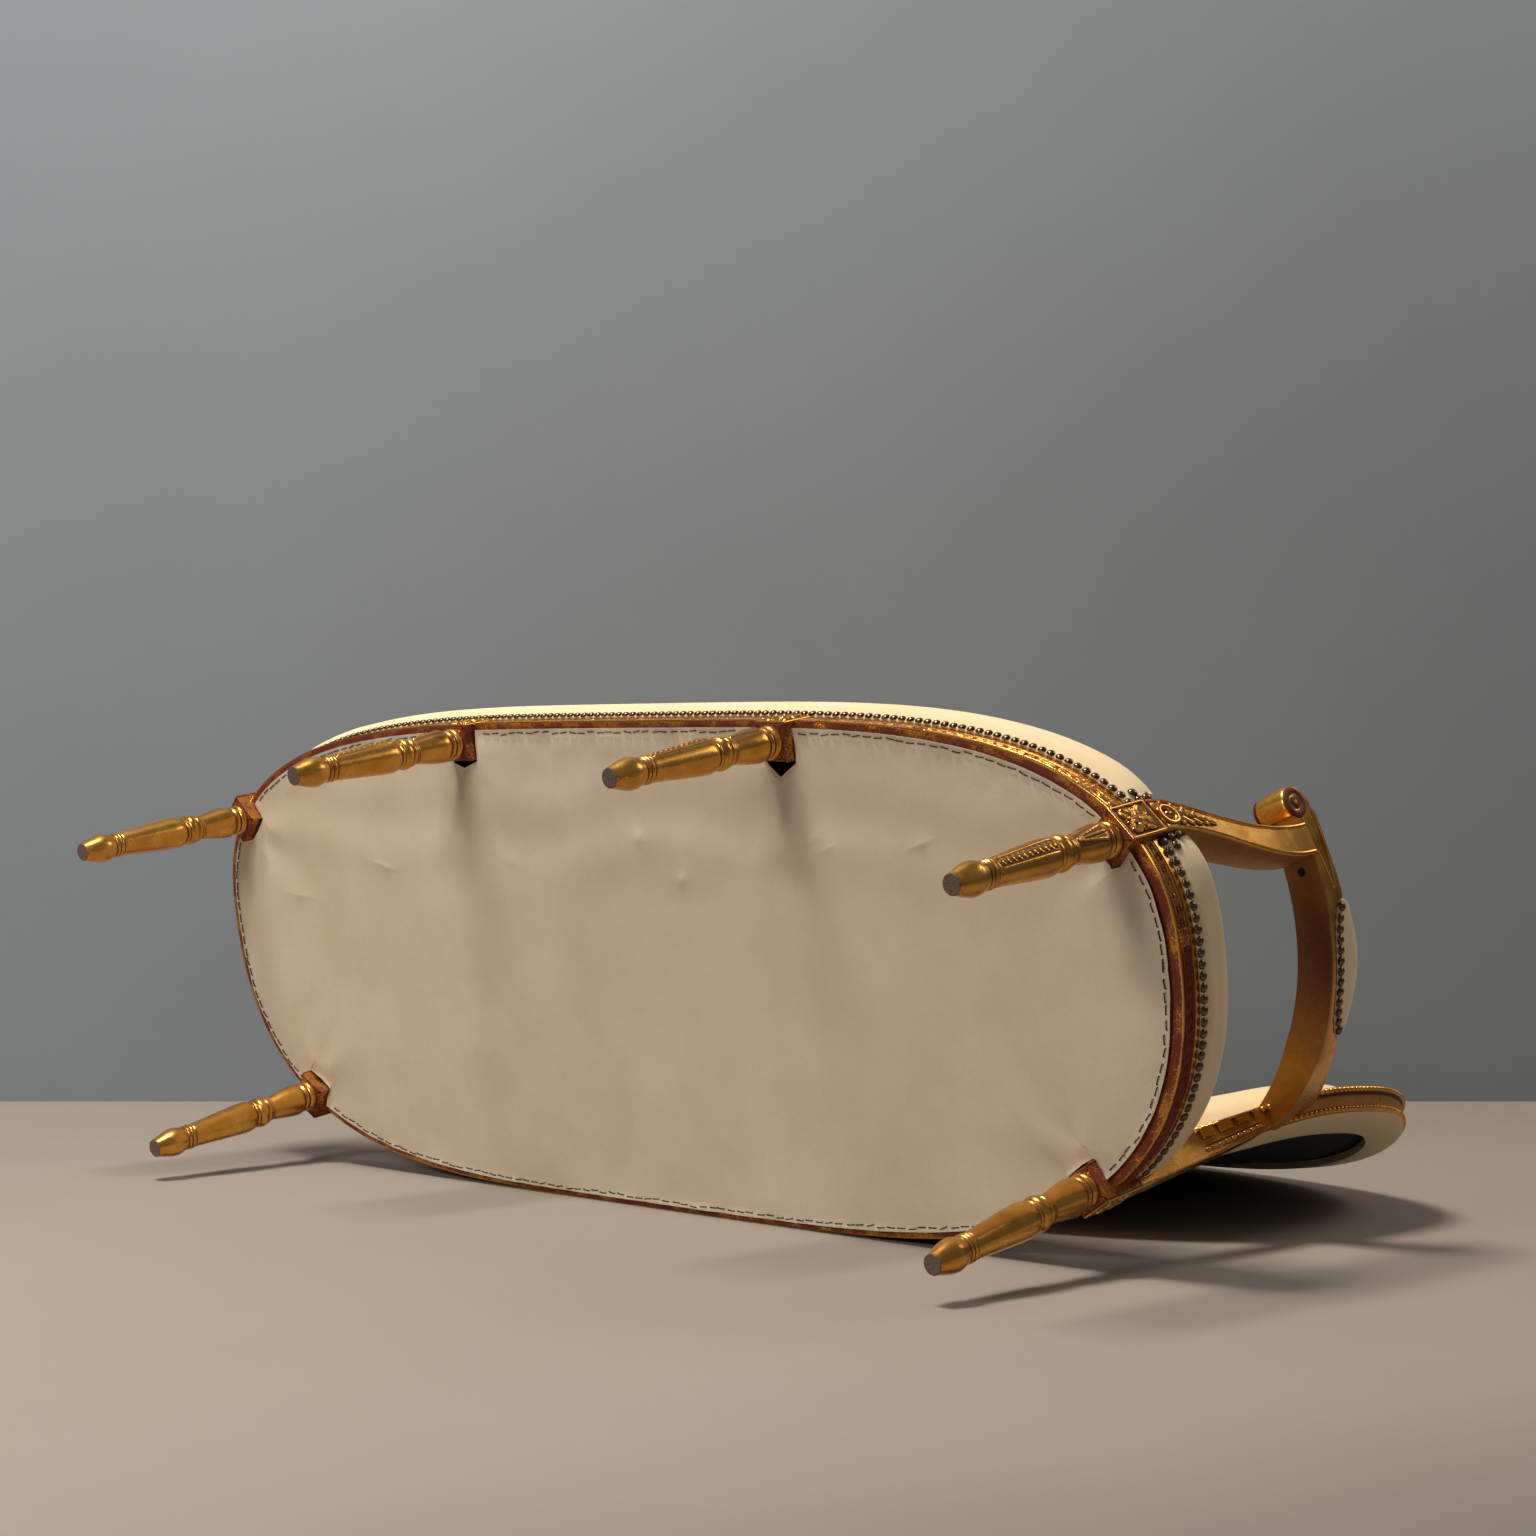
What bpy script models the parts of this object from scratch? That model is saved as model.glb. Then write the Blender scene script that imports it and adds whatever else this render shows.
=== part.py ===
"""Canape sofa: gilt show-wood frame, six turned legs, curved oval back and cream covers.

Metres, +Z up, -Y is the front, +X is the right end seen from the front.
The seat plan is one closed curve, and nearly everything hangs on it: rails, pads, cloths
and nail rows share its stations. The arms run from scrolls over the front corner legs to
the oval back, which leans and curves forward at its ends.
"""
import math

import bmesh
import bpy
import numpy as np

# Fits between pieces
CLEARANCE = 0.0003
OVERRUN = 0.004

# Seat plan
SEAT_HALF_LENGTH = 0.845
SEAT_FRONT_DEPTH = 0.274
SEAT_REAR_DEPTH = 0.364
PLAN_LENGTH_POWER = 4.0
PLAN_DEPTH_POWER = 2.4
SEAT_SWELL = 0.006
BACK_BEHIND = 0.116

# Legs: turned part, square block, and where they stand on the plan
RAIL_UNDERSIDE = 0.290
BLOCK_DROP = 0.020
BLOCK_SIDE = 0.048
CORNER_BLOCK_HEIGHT = 0.063
LEG_GREATEST_RADIUS = 0.022
FRONT_LEG_SETBACK = 0.055
REAR_LEG_SETBACK = 0.137
MIDDLE_LEG_SPACING = 0.578
CORNER_LEG_INSET = 0.015
MIDDLE_LEG_INSET = 0.0245
REAR_LEG_RAKE = 0.0106
LEG_SIDES = 12

# Turned outline of a leg, from the foot up: share of the turned height, share of the radius
LEG_OUTLINE_SHARES = (
    (0.000, 0.55), (0.050, 0.72), (0.105, 0.86), (0.140, 0.87), (0.175, 0.74), (0.190, 0.69),
    (0.208, 0.75), (0.225, 0.69), (0.400, 0.85), (0.560, 0.99), (0.605, 0.97), (0.640, 0.77),
    (0.655, 0.87), (0.705, 0.87), (0.725, 0.74), (0.860, 0.95), (0.912, 1.00), (0.936, 0.84),
    (0.952, 0.93), (0.966, 0.82), (0.985, 0.96),
)

# Stations between neighbouring legs round the seat, from the front right corner leg on
SPAN_STEPS = (8, 3, 8, 10, 10, 10)
PLAN_SAMPLES = 2880
PLAN_HALVINGS = 50

# Seat rails
RAIL_HEIGHT = 0.070
RAIL_THICKNESS = 0.032
SHOW_HEIGHT = 0.0325
RABBET_DEPTH = 0.0045
MOULDING_RELIEF = 0.003
MOULDING_BREADTH = 0.006
TENON_LENGTH = 0.018
TENON_THICKNESS = 0.010
TENON_HEIGHT = 0.024
GLUE_BLOCK_REACH = 0.035
GLUE_BLOCK_HEIGHT = 0.030

# Seat filling
CLOTH = 0.0012
STRAP_THICKNESS = 0.0015
STRAP_WIDTH = 0.050
LONG_STRAPS = 3
CROSS_STRAPS = 7
SPRING_COLUMN_SHARES = ((-1.0, "left"), (0.0, "middle"), (1.0, "right"))
SPRING_ROW_SHARES = ((-1.0, "front"), (1.0, "rear"))
SPRING_RADIUS = 0.040
SPRING_WAIST = 0.028
SPRING_WIRE = 0.0018
SPRING_TURNS = 3.5
SPRING_STEPS = 5
HESSIAN = 0.0015
SEAT_SHOULDER_RISE = 0.016
SEAT_CROWN_RISE = 0.036
SKIRT_THICKNESS = 0.0055
DUST_COVER_INSET = 0.009

# Crown of the seat: draw-in and height as shares of the rise above the shoulder, then the
# inner rings as a share of the plan and of that rise
SEAT_EDGE_SHARES = ((0.5, 0.5), (1.6, 0.78))
SEAT_CROWN_SHARES = ((0.72, 0.93), (0.38, 1.0))

# Nails
NAIL_RADIUS = 0.0053
NAIL_RISE = 0.0036
NAIL_CROWN_SHARE = 0.5
NAIL_NECK_SHARE = 0.35

# Arm supports: sweep back, turn, and shares of height, block width along the height
SUPPORT_DEPTH = 0.048
SUPPORT_SWEEP = 0.066
SUPPORT_SWEEP_POWER = 0.8
SUPPORT_SIDE_SWEEP = 0.009
SUPPORT_TURN = math.radians(22)
SUPPORT_OUTLINE_SHARES = (
    (0.0, 1.0), (0.12, 0.97), (0.27, 0.80), (0.42, 0.70), (0.58, 0.71), (0.75, 0.77),
    (0.90, 0.82), (1.0, 0.83),
)

# Armrests: the middle line on the plan starts at the scroll and turns inward
ARM_OVER_SEAT = 0.198
ARM_SCROLL_HEIGHT = 0.031
ARM_FRONT_HEIGHT = 0.043
ARM_REAR_HEIGHT = 0.036
ARM_WIDTH = 0.047
ARM_REAR_WIDTH = 0.032
ARM_REAR_RISE = 0.040
ARM_EDGE = 0.005
ARM_SHORTFALL = 0.230
ARM_NARROWING = 0.110
ARM_FRONT_INSET = 0.073
ARM_FRONT_SETBACK = 0.1586
ARM_FRONT_HEADING = math.radians(68)
ARM_REAR_HEADING = math.radians(135)
ARM_HEADING_POWER = 1.16
ARM_SAMPLES = 400
SCROLL_RADIUS = 0.019
SCROLL_EYE = 0.004
SCROLL_POWER = 3
SCROLL_TURN = math.radians(225)
SCROLL_STEPS = 9
ARM_STEPS = (4, 8, 5)

# Arm pads, in a saddle of the armrest that rises at both ends
ARM_PAD_START = 0.119
ARM_PAD_LENGTH = 0.156
ARM_SADDLE_HEIGHT = 0.014
ARM_SADDLE_FRONT_RISE = 0.022
ARM_SADDLE_REAR_RISE = 0.013
ARM_SADDLE_POWER = 4
ARM_PAD_STEP = 0.001
ARM_PAD_INSET = 0.001
ARM_PAD_CROWN = 0.078
ARM_PAD_STEPS = 8
ARM_PAD_NAILS = 12
ARM_PAD_END_SHARE = 0.34
ARM_PAD_SHARES = ((1.05, 0.26), (1.0, 0.56), (0.70, 0.88), (0.0, 1.0))

# Screws in the armrests' undersides
ARM_SCREW_PLACE = 0.071
ARM_SCREW_RADIUS = 0.0042
ARM_SCREW_SINK = 0.004
ARM_SCREW_LENGTH = 0.010
ARM_SCREW_SIDES = 10

# Oval back
BACK_HEIGHT = 0.665
BACK_OVER_SEAT = 0.013
BACK_OVERHANG = 0.047
BACK_POWER = 2.65
BACK_LEAN_SHARE = 0.224
BACK_CURVE = 0.122
BACK_CURVE_POWER = 4.6
RING_WIDTH = 0.050
RING_THICKNESS = 0.031
RING_RABBET = 0.016
BEAD = 0.003
LINING_RECESS = 0.010
BAND_ROOM = 0.003
BACK_PAD_GAP = 0.0012
BACK_SWELL = 0.046
HEM = 0.0025
OVAL_SAMPLES = 1440

# Stations of the oval in each quarter; the ring's pieces meet at the middle of a quarter
QUARTER_STEPS = 10

# Fronts of the ring's moulding as (share of the bead in from the edge, share proud)
RING_FACE_SHARES = ((1, -2), (0, -1), (1, 1), (3, 1), (5, -1))

# Back pad: rings as (nail radii in from the hem, share of the swell, share of the plan)
BACK_PAD_SHARES = ((0.0, 0.35, 1.0), (1.2, 0.62, 1.0), (4.0, 0.85, 1.0), (0.0, 0.96, 0.75),
                   (0.0, 1.0, 0.40))
CLOTH_RING_SHARE = 0.75

# Straps across the oval: share of its half height above the middle
BACK_STRAP_SHARES = (("back_webbing_upper", 0.35), ("back_webbing_lower", -0.35))

# Rear stiles: shares of height, width and depth
STILE_WIDTH = 0.048
STILE_DEPTH = 0.036
STILE_OUTLINE_SHARES = ((0.0, 1.0, 1.0), (0.30, 0.76, 1.0), (0.60, 0.74, 0.97), (1.0, 0.74, 0.76))
DOWEL_RADIUS = 0.003
DOWEL_LENGTH = 0.030
DOWEL_SIDES = 8
DOWEL_SHARE = 0.45

# Everything below is worked out from the sizes above
HALF_SHARE = 0.5
BLOCK_HALF = HALF_SHARE * BLOCK_SIDE
BLOCK_BOTTOM = RAIL_UNDERSIDE - BLOCK_DROP
CORNER_BLOCK_TOP = BLOCK_BOTTOM + CORNER_BLOCK_HEIGHT
RAIL_TOP = RAIL_UNDERSIDE + RAIL_HEIGHT
SHOW_TOP = RAIL_UNDERSIDE + SHOW_HEIGHT
SEAT_SHOULDER = RAIL_TOP + SEAT_SHOULDER_RISE
SEAT_CROWN = SEAT_SHOULDER + SEAT_CROWN_RISE
ARM_UNDERSIDE = SEAT_CROWN + ARM_OVER_SEAT
BACK_BOTTOM = SEAT_CROWN + BACK_OVER_SEAT
BACK_TOP = BACK_BOTTOM + BACK_HEIGHT
ARM_LENGTH = SEAT_FRONT_DEPTH + SEAT_REAR_DEPTH - ARM_SHORTFALL
OVERALL_DEPTH = SEAT_SWELL + SEAT_FRONT_DEPTH + SEAT_REAR_DEPTH + BACK_BEHIND
FRONT_Y = SEAT_SWELL - HALF_SHARE * OVERALL_DEPTH
WIDEST_Y = FRONT_Y + SEAT_FRONT_DEPTH
BAND_REAR = CLOTH + CLEARANCE
BACK_REAR_Y = HALF_SHARE * OVERALL_DEPTH - BAND_REAR + BACK_LEAN_SHARE * BEAD
BACK_HALF_LENGTH = SEAT_HALF_LENGTH - REAR_LEG_SETBACK + BACK_OVERHANG
BACK_HALF_HEIGHT = HALF_SHARE * (BACK_TOP - BACK_BOTTOM)
BACK_MIDDLE = HALF_SHARE * (BACK_TOP + BACK_BOTTOM)
FULL_TURN = 2 * math.pi
QUARTER = HALF_SHARE * math.pi
CORNERS = ((-1, -1), (1, -1), (1, 1), (-1, 1))

# Looks: linear colour, roughness, metallic value
GOLD = (0.56, 0.29, 0.07, 0.35, 0.75)
WOOD = (0.30, 0.18, 0.09, 0.70, 0.0)
CREAM = (0.80, 0.70, 0.52, 0.85, 0.0)
CALICO = (0.66, 0.55, 0.40, 0.90, 0.0)
JUTE = (0.35, 0.24, 0.12, 0.95, 0.0)
BRONZE = (0.10, 0.08, 0.06, 0.40, 0.9)
STEEL = (0.35, 0.33, 0.30, 0.45, 1.0)
LINING = (0.02, 0.02, 0.02, 0.95, 0.0)


def clear_scene():
    """Remove what the scene holds."""
    for item in list(bpy.data.objects):
        bpy.data.objects.remove(item, do_unlink=True)


def finish_material(name, look):
    """Make a principled material from a linear colour, a roughness and a metallic value."""
    material = bpy.data.materials.new(name)
    material.use_nodes = True
    shader = material.node_tree.nodes["Principled BSDF"]
    shader.inputs["Base Color"].default_value = (*look[:3], 1.0)
    shader.inputs["Roughness"].default_value = look[3]
    shader.inputs["Metallic"].default_value = look[4]
    material.diffuse_color = (*look[:3], 1.0)
    return material


def add_piece(name, bodies, look):
    """Add one object made of closed bodies, each a (points, faces) pair."""
    points = []
    faces = []
    for body_points, body_faces in bodies:
        start = len(points)
        points.extend(tuple(float(value) for value in point) for point in body_points)
        faces.extend(tuple(start + index for index in face) for face in body_faces)
    mesh = bpy.data.meshes.new(name)
    mesh.from_pydata(points, [], faces)
    shape = bmesh.new()
    shape.from_mesh(mesh)
    bmesh.ops.recalc_face_normals(shape, faces=shape.faces)
    shape.to_mesh(mesh)
    shape.free()
    mesh.materials.append(finish_material(name, look))
    piece = bpy.data.objects.new(name, mesh)
    bpy.context.scene.collection.objects.link(piece)
    return piece


def add_cutter(name, bodies):
    """Add a hidden guide object that other pieces are cut or joined with."""
    cutter = add_piece(name, bodies, WOOD)
    cutter.hide_render = True
    cutter.display_type = "WIRE"
    return cutter


def combine(piece, other, operation):
    """Give a piece an exact Boolean with another object."""
    step = piece.modifiers.new(operation.lower() + "_" + other.name, "BOOLEAN")
    step.operation = operation
    step.solver = "EXACT"
    step.object = other
    return step


def loft(sections, closed=False):
    """Join rings of points into one closed body, capped at both ends unless it is a loop."""
    sections = np.asarray(sections, float)
    count, size = sections.shape[:2]
    faces = []
    for row in range(count if closed else count - 1):
        after = (row + 1) % count
        for column in range(size):
            beside = (column + 1) % size
            first, far = row * size + column, after * size + beside
            faces.append((first, row * size + beside, far))
            faces.append((first, far, after * size + column))
    if not closed:
        faces.append(tuple(range(size - 1, -1, -1)))
        faces.append(tuple((count - 1) * size + column for column in range(size)))
    return sections.reshape(-1, 3), faces


def slab(lower, upper):
    """Close a cushion or a cloth: rings of points from the lower middle to the upper middle."""
    rings = [np.asarray(ring, float) for ring in lower + upper]
    size = len(rings[0])
    points = np.concatenate(rings + [rings[0].mean(0)[None], rings[-1].mean(0)[None]])
    faces = []
    for row in range(len(rings) - 1):
        for column in range(size):
            beside = (column + 1) % size
            second, above = row * size + beside, (row + 1) * size + column
            faces.append((row * size + column, second, above))
            faces.append((second, (row + 1) * size + beside, above))
    last = (len(rings) - 1) * size
    for column in range(size):
        beside = (column + 1) % size
        faces.append((beside, column, len(points) - 2))
        faces.append((last + column, last + beside, len(points) - 1))
    return points, faces


def box_body(centre, across, along, up, half_across, half_along, low, high):
    """Make a box from a centre on the plan, two plan directions and two heights."""
    rings = []
    for height in (low, high):
        rings.append([centre + across * half_across * i + along * half_along * j + up * height
                      for i, j in CORNERS])
    return loft(rings)


def peg(start, end, radius, sides):
    """Make a straight round peg between two points."""
    start = np.asarray(start, float)
    end = np.asarray(end, float)
    axis = (end - start) / np.linalg.norm(end - start)
    side = np.cross(axis, (0, 0, 1) if abs(axis[2]) < HALF_SHARE else (1, 0, 0))
    side = side / np.linalg.norm(side)
    other = np.cross(axis, side)
    turns = np.arange(sides) * FULL_TURN / sides
    ring = radius * (np.cos(turns)[:, None] * side + np.sin(turns)[:, None] * other)
    return loft([start + ring, end + ring])


UP = np.array((0.0, 0.0, 1.0))
_cutters = {}


class SeatPlan:
    """The plan curve of the seat, measured along its length from the right end, front first.

    A place on the curve is a length along it; unit coordinates (X, Y) fulfil
    |X|^length_power + |Y|^depth_power = 1 and scale to any inset or outset of the curve.
    """

    def __init__(self):
        turn = np.linspace(0, -FULL_TURN, PLAN_SAMPLES + 1)
        cosine, sine = np.cos(turn), np.sin(turn)
        depth = np.where(sine < 0, SEAT_FRONT_DEPTH, SEAT_REAR_DEPTH)
        low = np.zeros_like(turn)
        high = np.full_like(turn, SEAT_HALF_LENGTH + SEAT_REAR_DEPTH + SEAT_FRONT_DEPTH)
        for _ in range(PLAN_HALVINGS):
            reach = HALF_SHARE * (low + high)
            outside = (np.abs(reach * cosine / SEAT_HALF_LENGTH) ** PLAN_LENGTH_POWER
                       + np.abs(reach * sine / depth) ** PLAN_DEPTH_POWER) > 1
            high = np.where(outside, reach, high)
            low = np.where(outside, low, reach)
        self.unit = np.stack([reach * cosine / SEAT_HALF_LENGTH, reach * sine / depth], 1)
        points = self.scaled(self.unit, 0)
        steps = np.linalg.norm(np.diff(points, axis=0), axis=1)
        self.length = np.concatenate([[0], np.cumsum(steps)])
        self.total = self.length[-1]

    @staticmethod
    def scaled(unit, outset):
        """Scale unit coordinates to the curve moved out by an outset."""
        depth = np.where(unit[..., 1] < 0, SEAT_FRONT_DEPTH, SEAT_REAR_DEPTH) + outset
        return np.stack([unit[..., 0] * (SEAT_HALF_LENGTH + outset),
                         unit[..., 1] * depth + WIDEST_Y], -1)

    def at(self, place, outset=0):
        """Give the plan point, outward direction and onward direction at a place."""
        wrapped = np.mod(place, self.total)
        unit = np.stack([np.interp(wrapped, self.length, self.unit[:, k]) for k in (0, 1)], -1)
        point = self.scaled(unit, outset)
        ahead = np.mod(place + OVERRUN, self.total)
        behind = np.mod(place - OVERRUN, self.total)
        tips = [np.stack([np.interp(spot, self.length, self.unit[:, k]) for k in (0, 1)], -1)
                for spot in (behind, ahead)]
        onward = self.scaled(tips[1], outset) - self.scaled(tips[0], outset)
        onward = onward / np.linalg.norm(onward)
        outward = np.array((-onward[1], onward[0]))
        return (np.append(point, 0.0), np.append(outward, 0.0), np.append(onward, 0.0))

    def place_of(self, reach, front):
        """Find the place on the front or rear half of the curve whose X is given."""
        points = self.scaled(self.unit, 0)
        half = len(points) // 2
        spots = slice(0, half + 1) if front else slice(half, len(points))
        across, along = points[spots, 0], self.length[spots]
        if across[0] > across[-1]:
            across, along = across[::-1], along[::-1]
        return float(np.interp(reach, across, along))


PLAN = SeatPlan()


class Leg:
    """Where one leg stands: its place on the plan, its centre and its outward direction."""

    def __init__(self, name, reach, front, inset, corner):
        self.name = name
        self.place = PLAN.place_of(reach, front)
        foot, self.outward, self.onward = PLAN.at(self.place)
        self.centre = foot - self.outward * inset
        self.corner = corner
        self.top = CORNER_BLOCK_TOP if corner else SHOW_TOP
        self.rake = np.array((0.0, 0.0 if front else REAR_LEG_RAKE, 0.0))

    def rings(self):
        """Rings of the turned part and the block, turned so that a flat faces outward."""
        turns = (np.arange(LEG_SIDES) + HALF_SHARE) * FULL_TURN / LEG_SIDES
        cosine, sine = np.cos(turns), np.sin(turns)
        square = BLOCK_HALF / np.maximum(np.abs(cosine), np.abs(sine))
        outline = [(height * BLOCK_BOTTOM, radius * LEG_GREATEST_RADIUS * np.ones(LEG_SIDES))
                   for height, radius in LEG_OUTLINE_SHARES]
        outline += [(BLOCK_BOTTOM, square), (self.top, square)]
        rings = []
        for height, radius in outline:
            below = max(0.0, 1 - height / BLOCK_BOTTOM)
            middle = self.centre + self.rake * below + UP * height
            rings.append(middle + (radius * cosine)[:, None] * self.outward
                         + (radius * sine)[:, None] * self.onward)
        return rings

    def block(self, growth, low, high):
        """The block's box, grown by a clearance, between two heights."""
        return box_body(self.centre, self.outward, self.onward, UP,
                        BLOCK_HALF + growth, BLOCK_HALF + growth, low, high)


CORNER_REACH = SEAT_HALF_LENGTH - FRONT_LEG_SETBACK
REAR_REACH = SEAT_HALF_LENGTH - REAR_LEG_SETBACK
MIDDLE_REACH = HALF_SHARE * MIDDLE_LEG_SPACING
LEGS = {
    "front_leg_right": Leg("front_leg_right", CORNER_REACH, True, CORNER_LEG_INSET, True),
    "front_leg_mid_right": Leg("front_leg_mid_right", MIDDLE_REACH, True, MIDDLE_LEG_INSET, False),
    "front_leg_mid_left": Leg("front_leg_mid_left", -MIDDLE_REACH, True, MIDDLE_LEG_INSET, False),
    "front_leg_left": Leg("front_leg_left", -CORNER_REACH, True, CORNER_LEG_INSET, True),
    "rear_leg_left": Leg("rear_leg_left", -REAR_REACH, False, CORNER_LEG_INSET, True),
    "rear_leg_right": Leg("rear_leg_right", REAR_REACH, False, CORNER_LEG_INSET, True),
}
AROUND = list(LEGS.values())


def seat_stations():
    """Places of all stations round the seat: block faces, leg middles and even steps between."""
    places = []
    for index, leg in enumerate(AROUND):
        following = AROUND[(index + 1) % len(AROUND)].place
        if following < leg.place:
            following += PLAN.total
        first = leg.place + BLOCK_HALF
        last = following - BLOCK_HALF
        places.append(leg.place)
        places.extend(np.linspace(first, last, SPAN_STEPS[index] + 1))
    return np.array(places)


STATIONS = seat_stations()
UNIT_STATIONS = np.stack([np.interp(np.mod(STATIONS, PLAN.total), PLAN.length, PLAN.unit[:, k])
                          for k in (0, 1)], 1)


def seat_ring(outset, height):
    """One ring of points round the seat at an outset from the rail's face and a height."""
    flat = PLAN.scaled(UNIT_STATIONS, outset)
    return np.column_stack([flat, np.full(len(flat), float(height))])


def seat_scaled_ring(share, inner_outset, height):
    """One ring drawn in towards the middle of the seat by a share."""
    ring = seat_ring(inner_outset, height)
    middle = np.array((0.0, WIDEST_Y + HALF_SHARE * (SEAT_REAR_DEPTH - SEAT_FRONT_DEPTH), 0.0))
    ring[:, :2] = middle[:2] + (ring[:, :2] - middle[:2]) * share
    return ring


def span_of(leg_index):
    """Indices of the stations from one leg's onward block face to the next leg's near face."""
    start = leg_index + sum(steps + 1 for steps in SPAN_STEPS[:leg_index])
    return [(start + 1 + step) % len(STATIONS) for step in range(SPAN_STEPS[leg_index] + 1)]


def rail_section():
    """The rail's moulded section as (outset, height) points."""
    step = MOULDING_BREADTH
    return (
        (-RAIL_THICKNESS, RAIL_UNDERSIDE), (-MOULDING_RELIEF, RAIL_UNDERSIDE),
        (0.0, RAIL_UNDERSIDE + HALF_SHARE * step), (0.0, RAIL_UNDERSIDE + step),
        (-MOULDING_RELIEF, RAIL_UNDERSIDE + step + HALF_SHARE * step),
        (-HALF_SHARE * MOULDING_RELIEF, SHOW_TOP - step - HALF_SHARE * step),
        (0.0, SHOW_TOP - step), (0.0, SHOW_TOP),
        (-RABBET_DEPTH, SHOW_TOP), (-RABBET_DEPTH, RAIL_TOP), (-RAIL_THICKNESS, RAIL_TOP),
    )


def meet_plane(first, second, centre, direction, distance):
    """Slide points along their own chords until they lie on a plane."""
    level = centre @ direction + distance
    chord = second - first
    return first + chord * ((level - first @ direction) / (chord @ direction))[:, None]


def trimmed_rings(section, indices, start_leg, end_leg):
    """Carry an (outset, height) section between two legs, ending at the legs' block faces."""
    lines = np.stack([seat_ring(outset, height) for outset, height in section], 1)
    rings = lines[indices].copy()
    rings[0] = meet_plane(rings[0], rings[1], start_leg.centre, start_leg.onward,
                          BLOCK_HALF + CLEARANCE)
    rings[-1] = meet_plane(rings[-1], rings[-2], end_leg.centre, end_leg.onward,
                           -BLOCK_HALF - CLEARANCE)
    return rings


def tenon_body(leg, side, growth):
    """A rail's tenon in a leg's block; side is +1 on the onward face and -1 on the other."""
    foot, outward, _ = PLAN.at(leg.place + side * BLOCK_HALF)
    middle = foot - outward * HALF_SHARE * (RAIL_THICKNESS + RABBET_DEPTH)
    depth_in = (middle - leg.centre) @ leg.outward
    inner = BLOCK_HALF - TENON_LENGTH - growth
    outer = BLOCK_HALF + CLEARANCE + (OVERRUN if growth == 0 else HALF_SHARE * OVERRUN)
    centre = leg.centre + leg.outward * depth_in + leg.onward * side * HALF_SHARE * (inner + outer)
    low = RAIL_UNDERSIDE + HALF_SHARE * (SHOW_HEIGHT - TENON_HEIGHT)
    return box_body(centre, leg.outward, leg.onward, UP, HALF_SHARE * TENON_THICKNESS + growth,
                    HALF_SHARE * (outer - inner), low - growth, low + TENON_HEIGHT + growth)


def build_legs():
    """Make the six legs; corner blocks are mortised for the rails' tenons."""
    for leg in AROUND:
        piece = add_piece(leg.name, [loft(leg.rings())], GOLD)
        if leg.corner:
            mortises = [tenon_body(leg, side, CLEARANCE) for side in (-1, 1)]
            combine(piece, add_cutter("mortises_" + leg.name, mortises), "DIFFERENCE")


def build_rails():
    """Make the front, side and rear rails, tenoned into the corner blocks."""
    right, mid_right, mid_left, left, rear_left, rear_right = AROUND
    front = span_of(0) + [span_of(0)[-1] + 1] + span_of(1) + [span_of(1)[-1] + 1] + span_of(2)
    runs = (
        ("front_rail", front, right, left),
        ("side_rail_left", span_of(3), left, rear_left),
        ("rear_rail", span_of(4), rear_left, rear_right),
        ("side_rail_right", span_of(5), rear_right, right),
    )
    for name, indices, start_leg, end_leg in runs:
        rings = trimmed_rings(rail_section(), indices, start_leg, end_leg)
        rail = add_piece(name, [loft(rings)], GOLD)
        tenons = [tenon_body(start_leg, 1, 0), tenon_body(end_leg, -1, 0)]
        combine(rail, add_cutter("tenons_" + name, tenons), "UNION")
        if name.startswith("side"):
            combine(rail, post_cutter(), "DIFFERENCE")
        if name == "front_rail":
            low, high = RAIL_UNDERSIDE - OVERRUN, SHOW_TOP + CLEARANCE
            notches = [leg.block(CLEARANCE, low, high) for leg in (mid_right, mid_left)]
            combine(rail, add_cutter("saddles_" + name, notches), "DIFFERENCE")


def build_glue_blocks():
    """Make the triangular blocks glued inside the frame behind each corner leg."""
    for leg in AROUND:
        if not leg.corner:
            continue
        inward = -leg.outward
        face = leg.centre + inward * (BLOCK_HALF + CLEARANCE)
        low = CORNER_BLOCK_TOP - GLUE_BLOCK_HEIGHT
        rings = [[face + leg.onward * BLOCK_HALF + UP * height,
                  face + inward * GLUE_BLOCK_REACH + UP * height,
                  face - leg.onward * BLOCK_HALF + UP * height]
                 for height in (low, low + GLUE_BLOCK_HEIGHT)]
        add_piece("glue_block_" + leg.name.replace("_leg", ""), [loft(rings)], WOOD)


def inner_reach(y_place, outset):
    """Half length of the seat's inside at a depth, for an outset of the plan curve."""
    depth = (SEAT_FRONT_DEPTH if y_place < WIDEST_Y else SEAT_REAR_DEPTH) + outset
    share = abs(y_place - WIDEST_Y) / depth
    return (SEAT_HALF_LENGTH + outset) * (1 - share ** PLAN_DEPTH_POWER) ** (1 / PLAN_LENGTH_POWER)


def inner_depth(x_place, outset, front):
    """Depth of the seat's inside at a place along the length."""
    share = abs(x_place) / (SEAT_HALF_LENGTH + outset)
    depth = (SEAT_FRONT_DEPTH if front else SEAT_REAR_DEPTH) + outset
    reach = depth * (1 - share ** PLAN_LENGTH_POWER) ** (1 / PLAN_DEPTH_POWER)
    return WIDEST_Y - reach if front else WIDEST_Y + reach


STRAP_TOP = RAIL_UNDERSIDE - CLEARANCE
STRAP_LOW = STRAP_TOP - STRAP_THICKNESS
STRAP_OUTSET = -HALF_SHARE * RAIL_THICKNESS
ACROSS = np.array((1.0, 0.0, 0.0))
ALONG = np.array((0.0, 1.0, 0.0))


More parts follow.
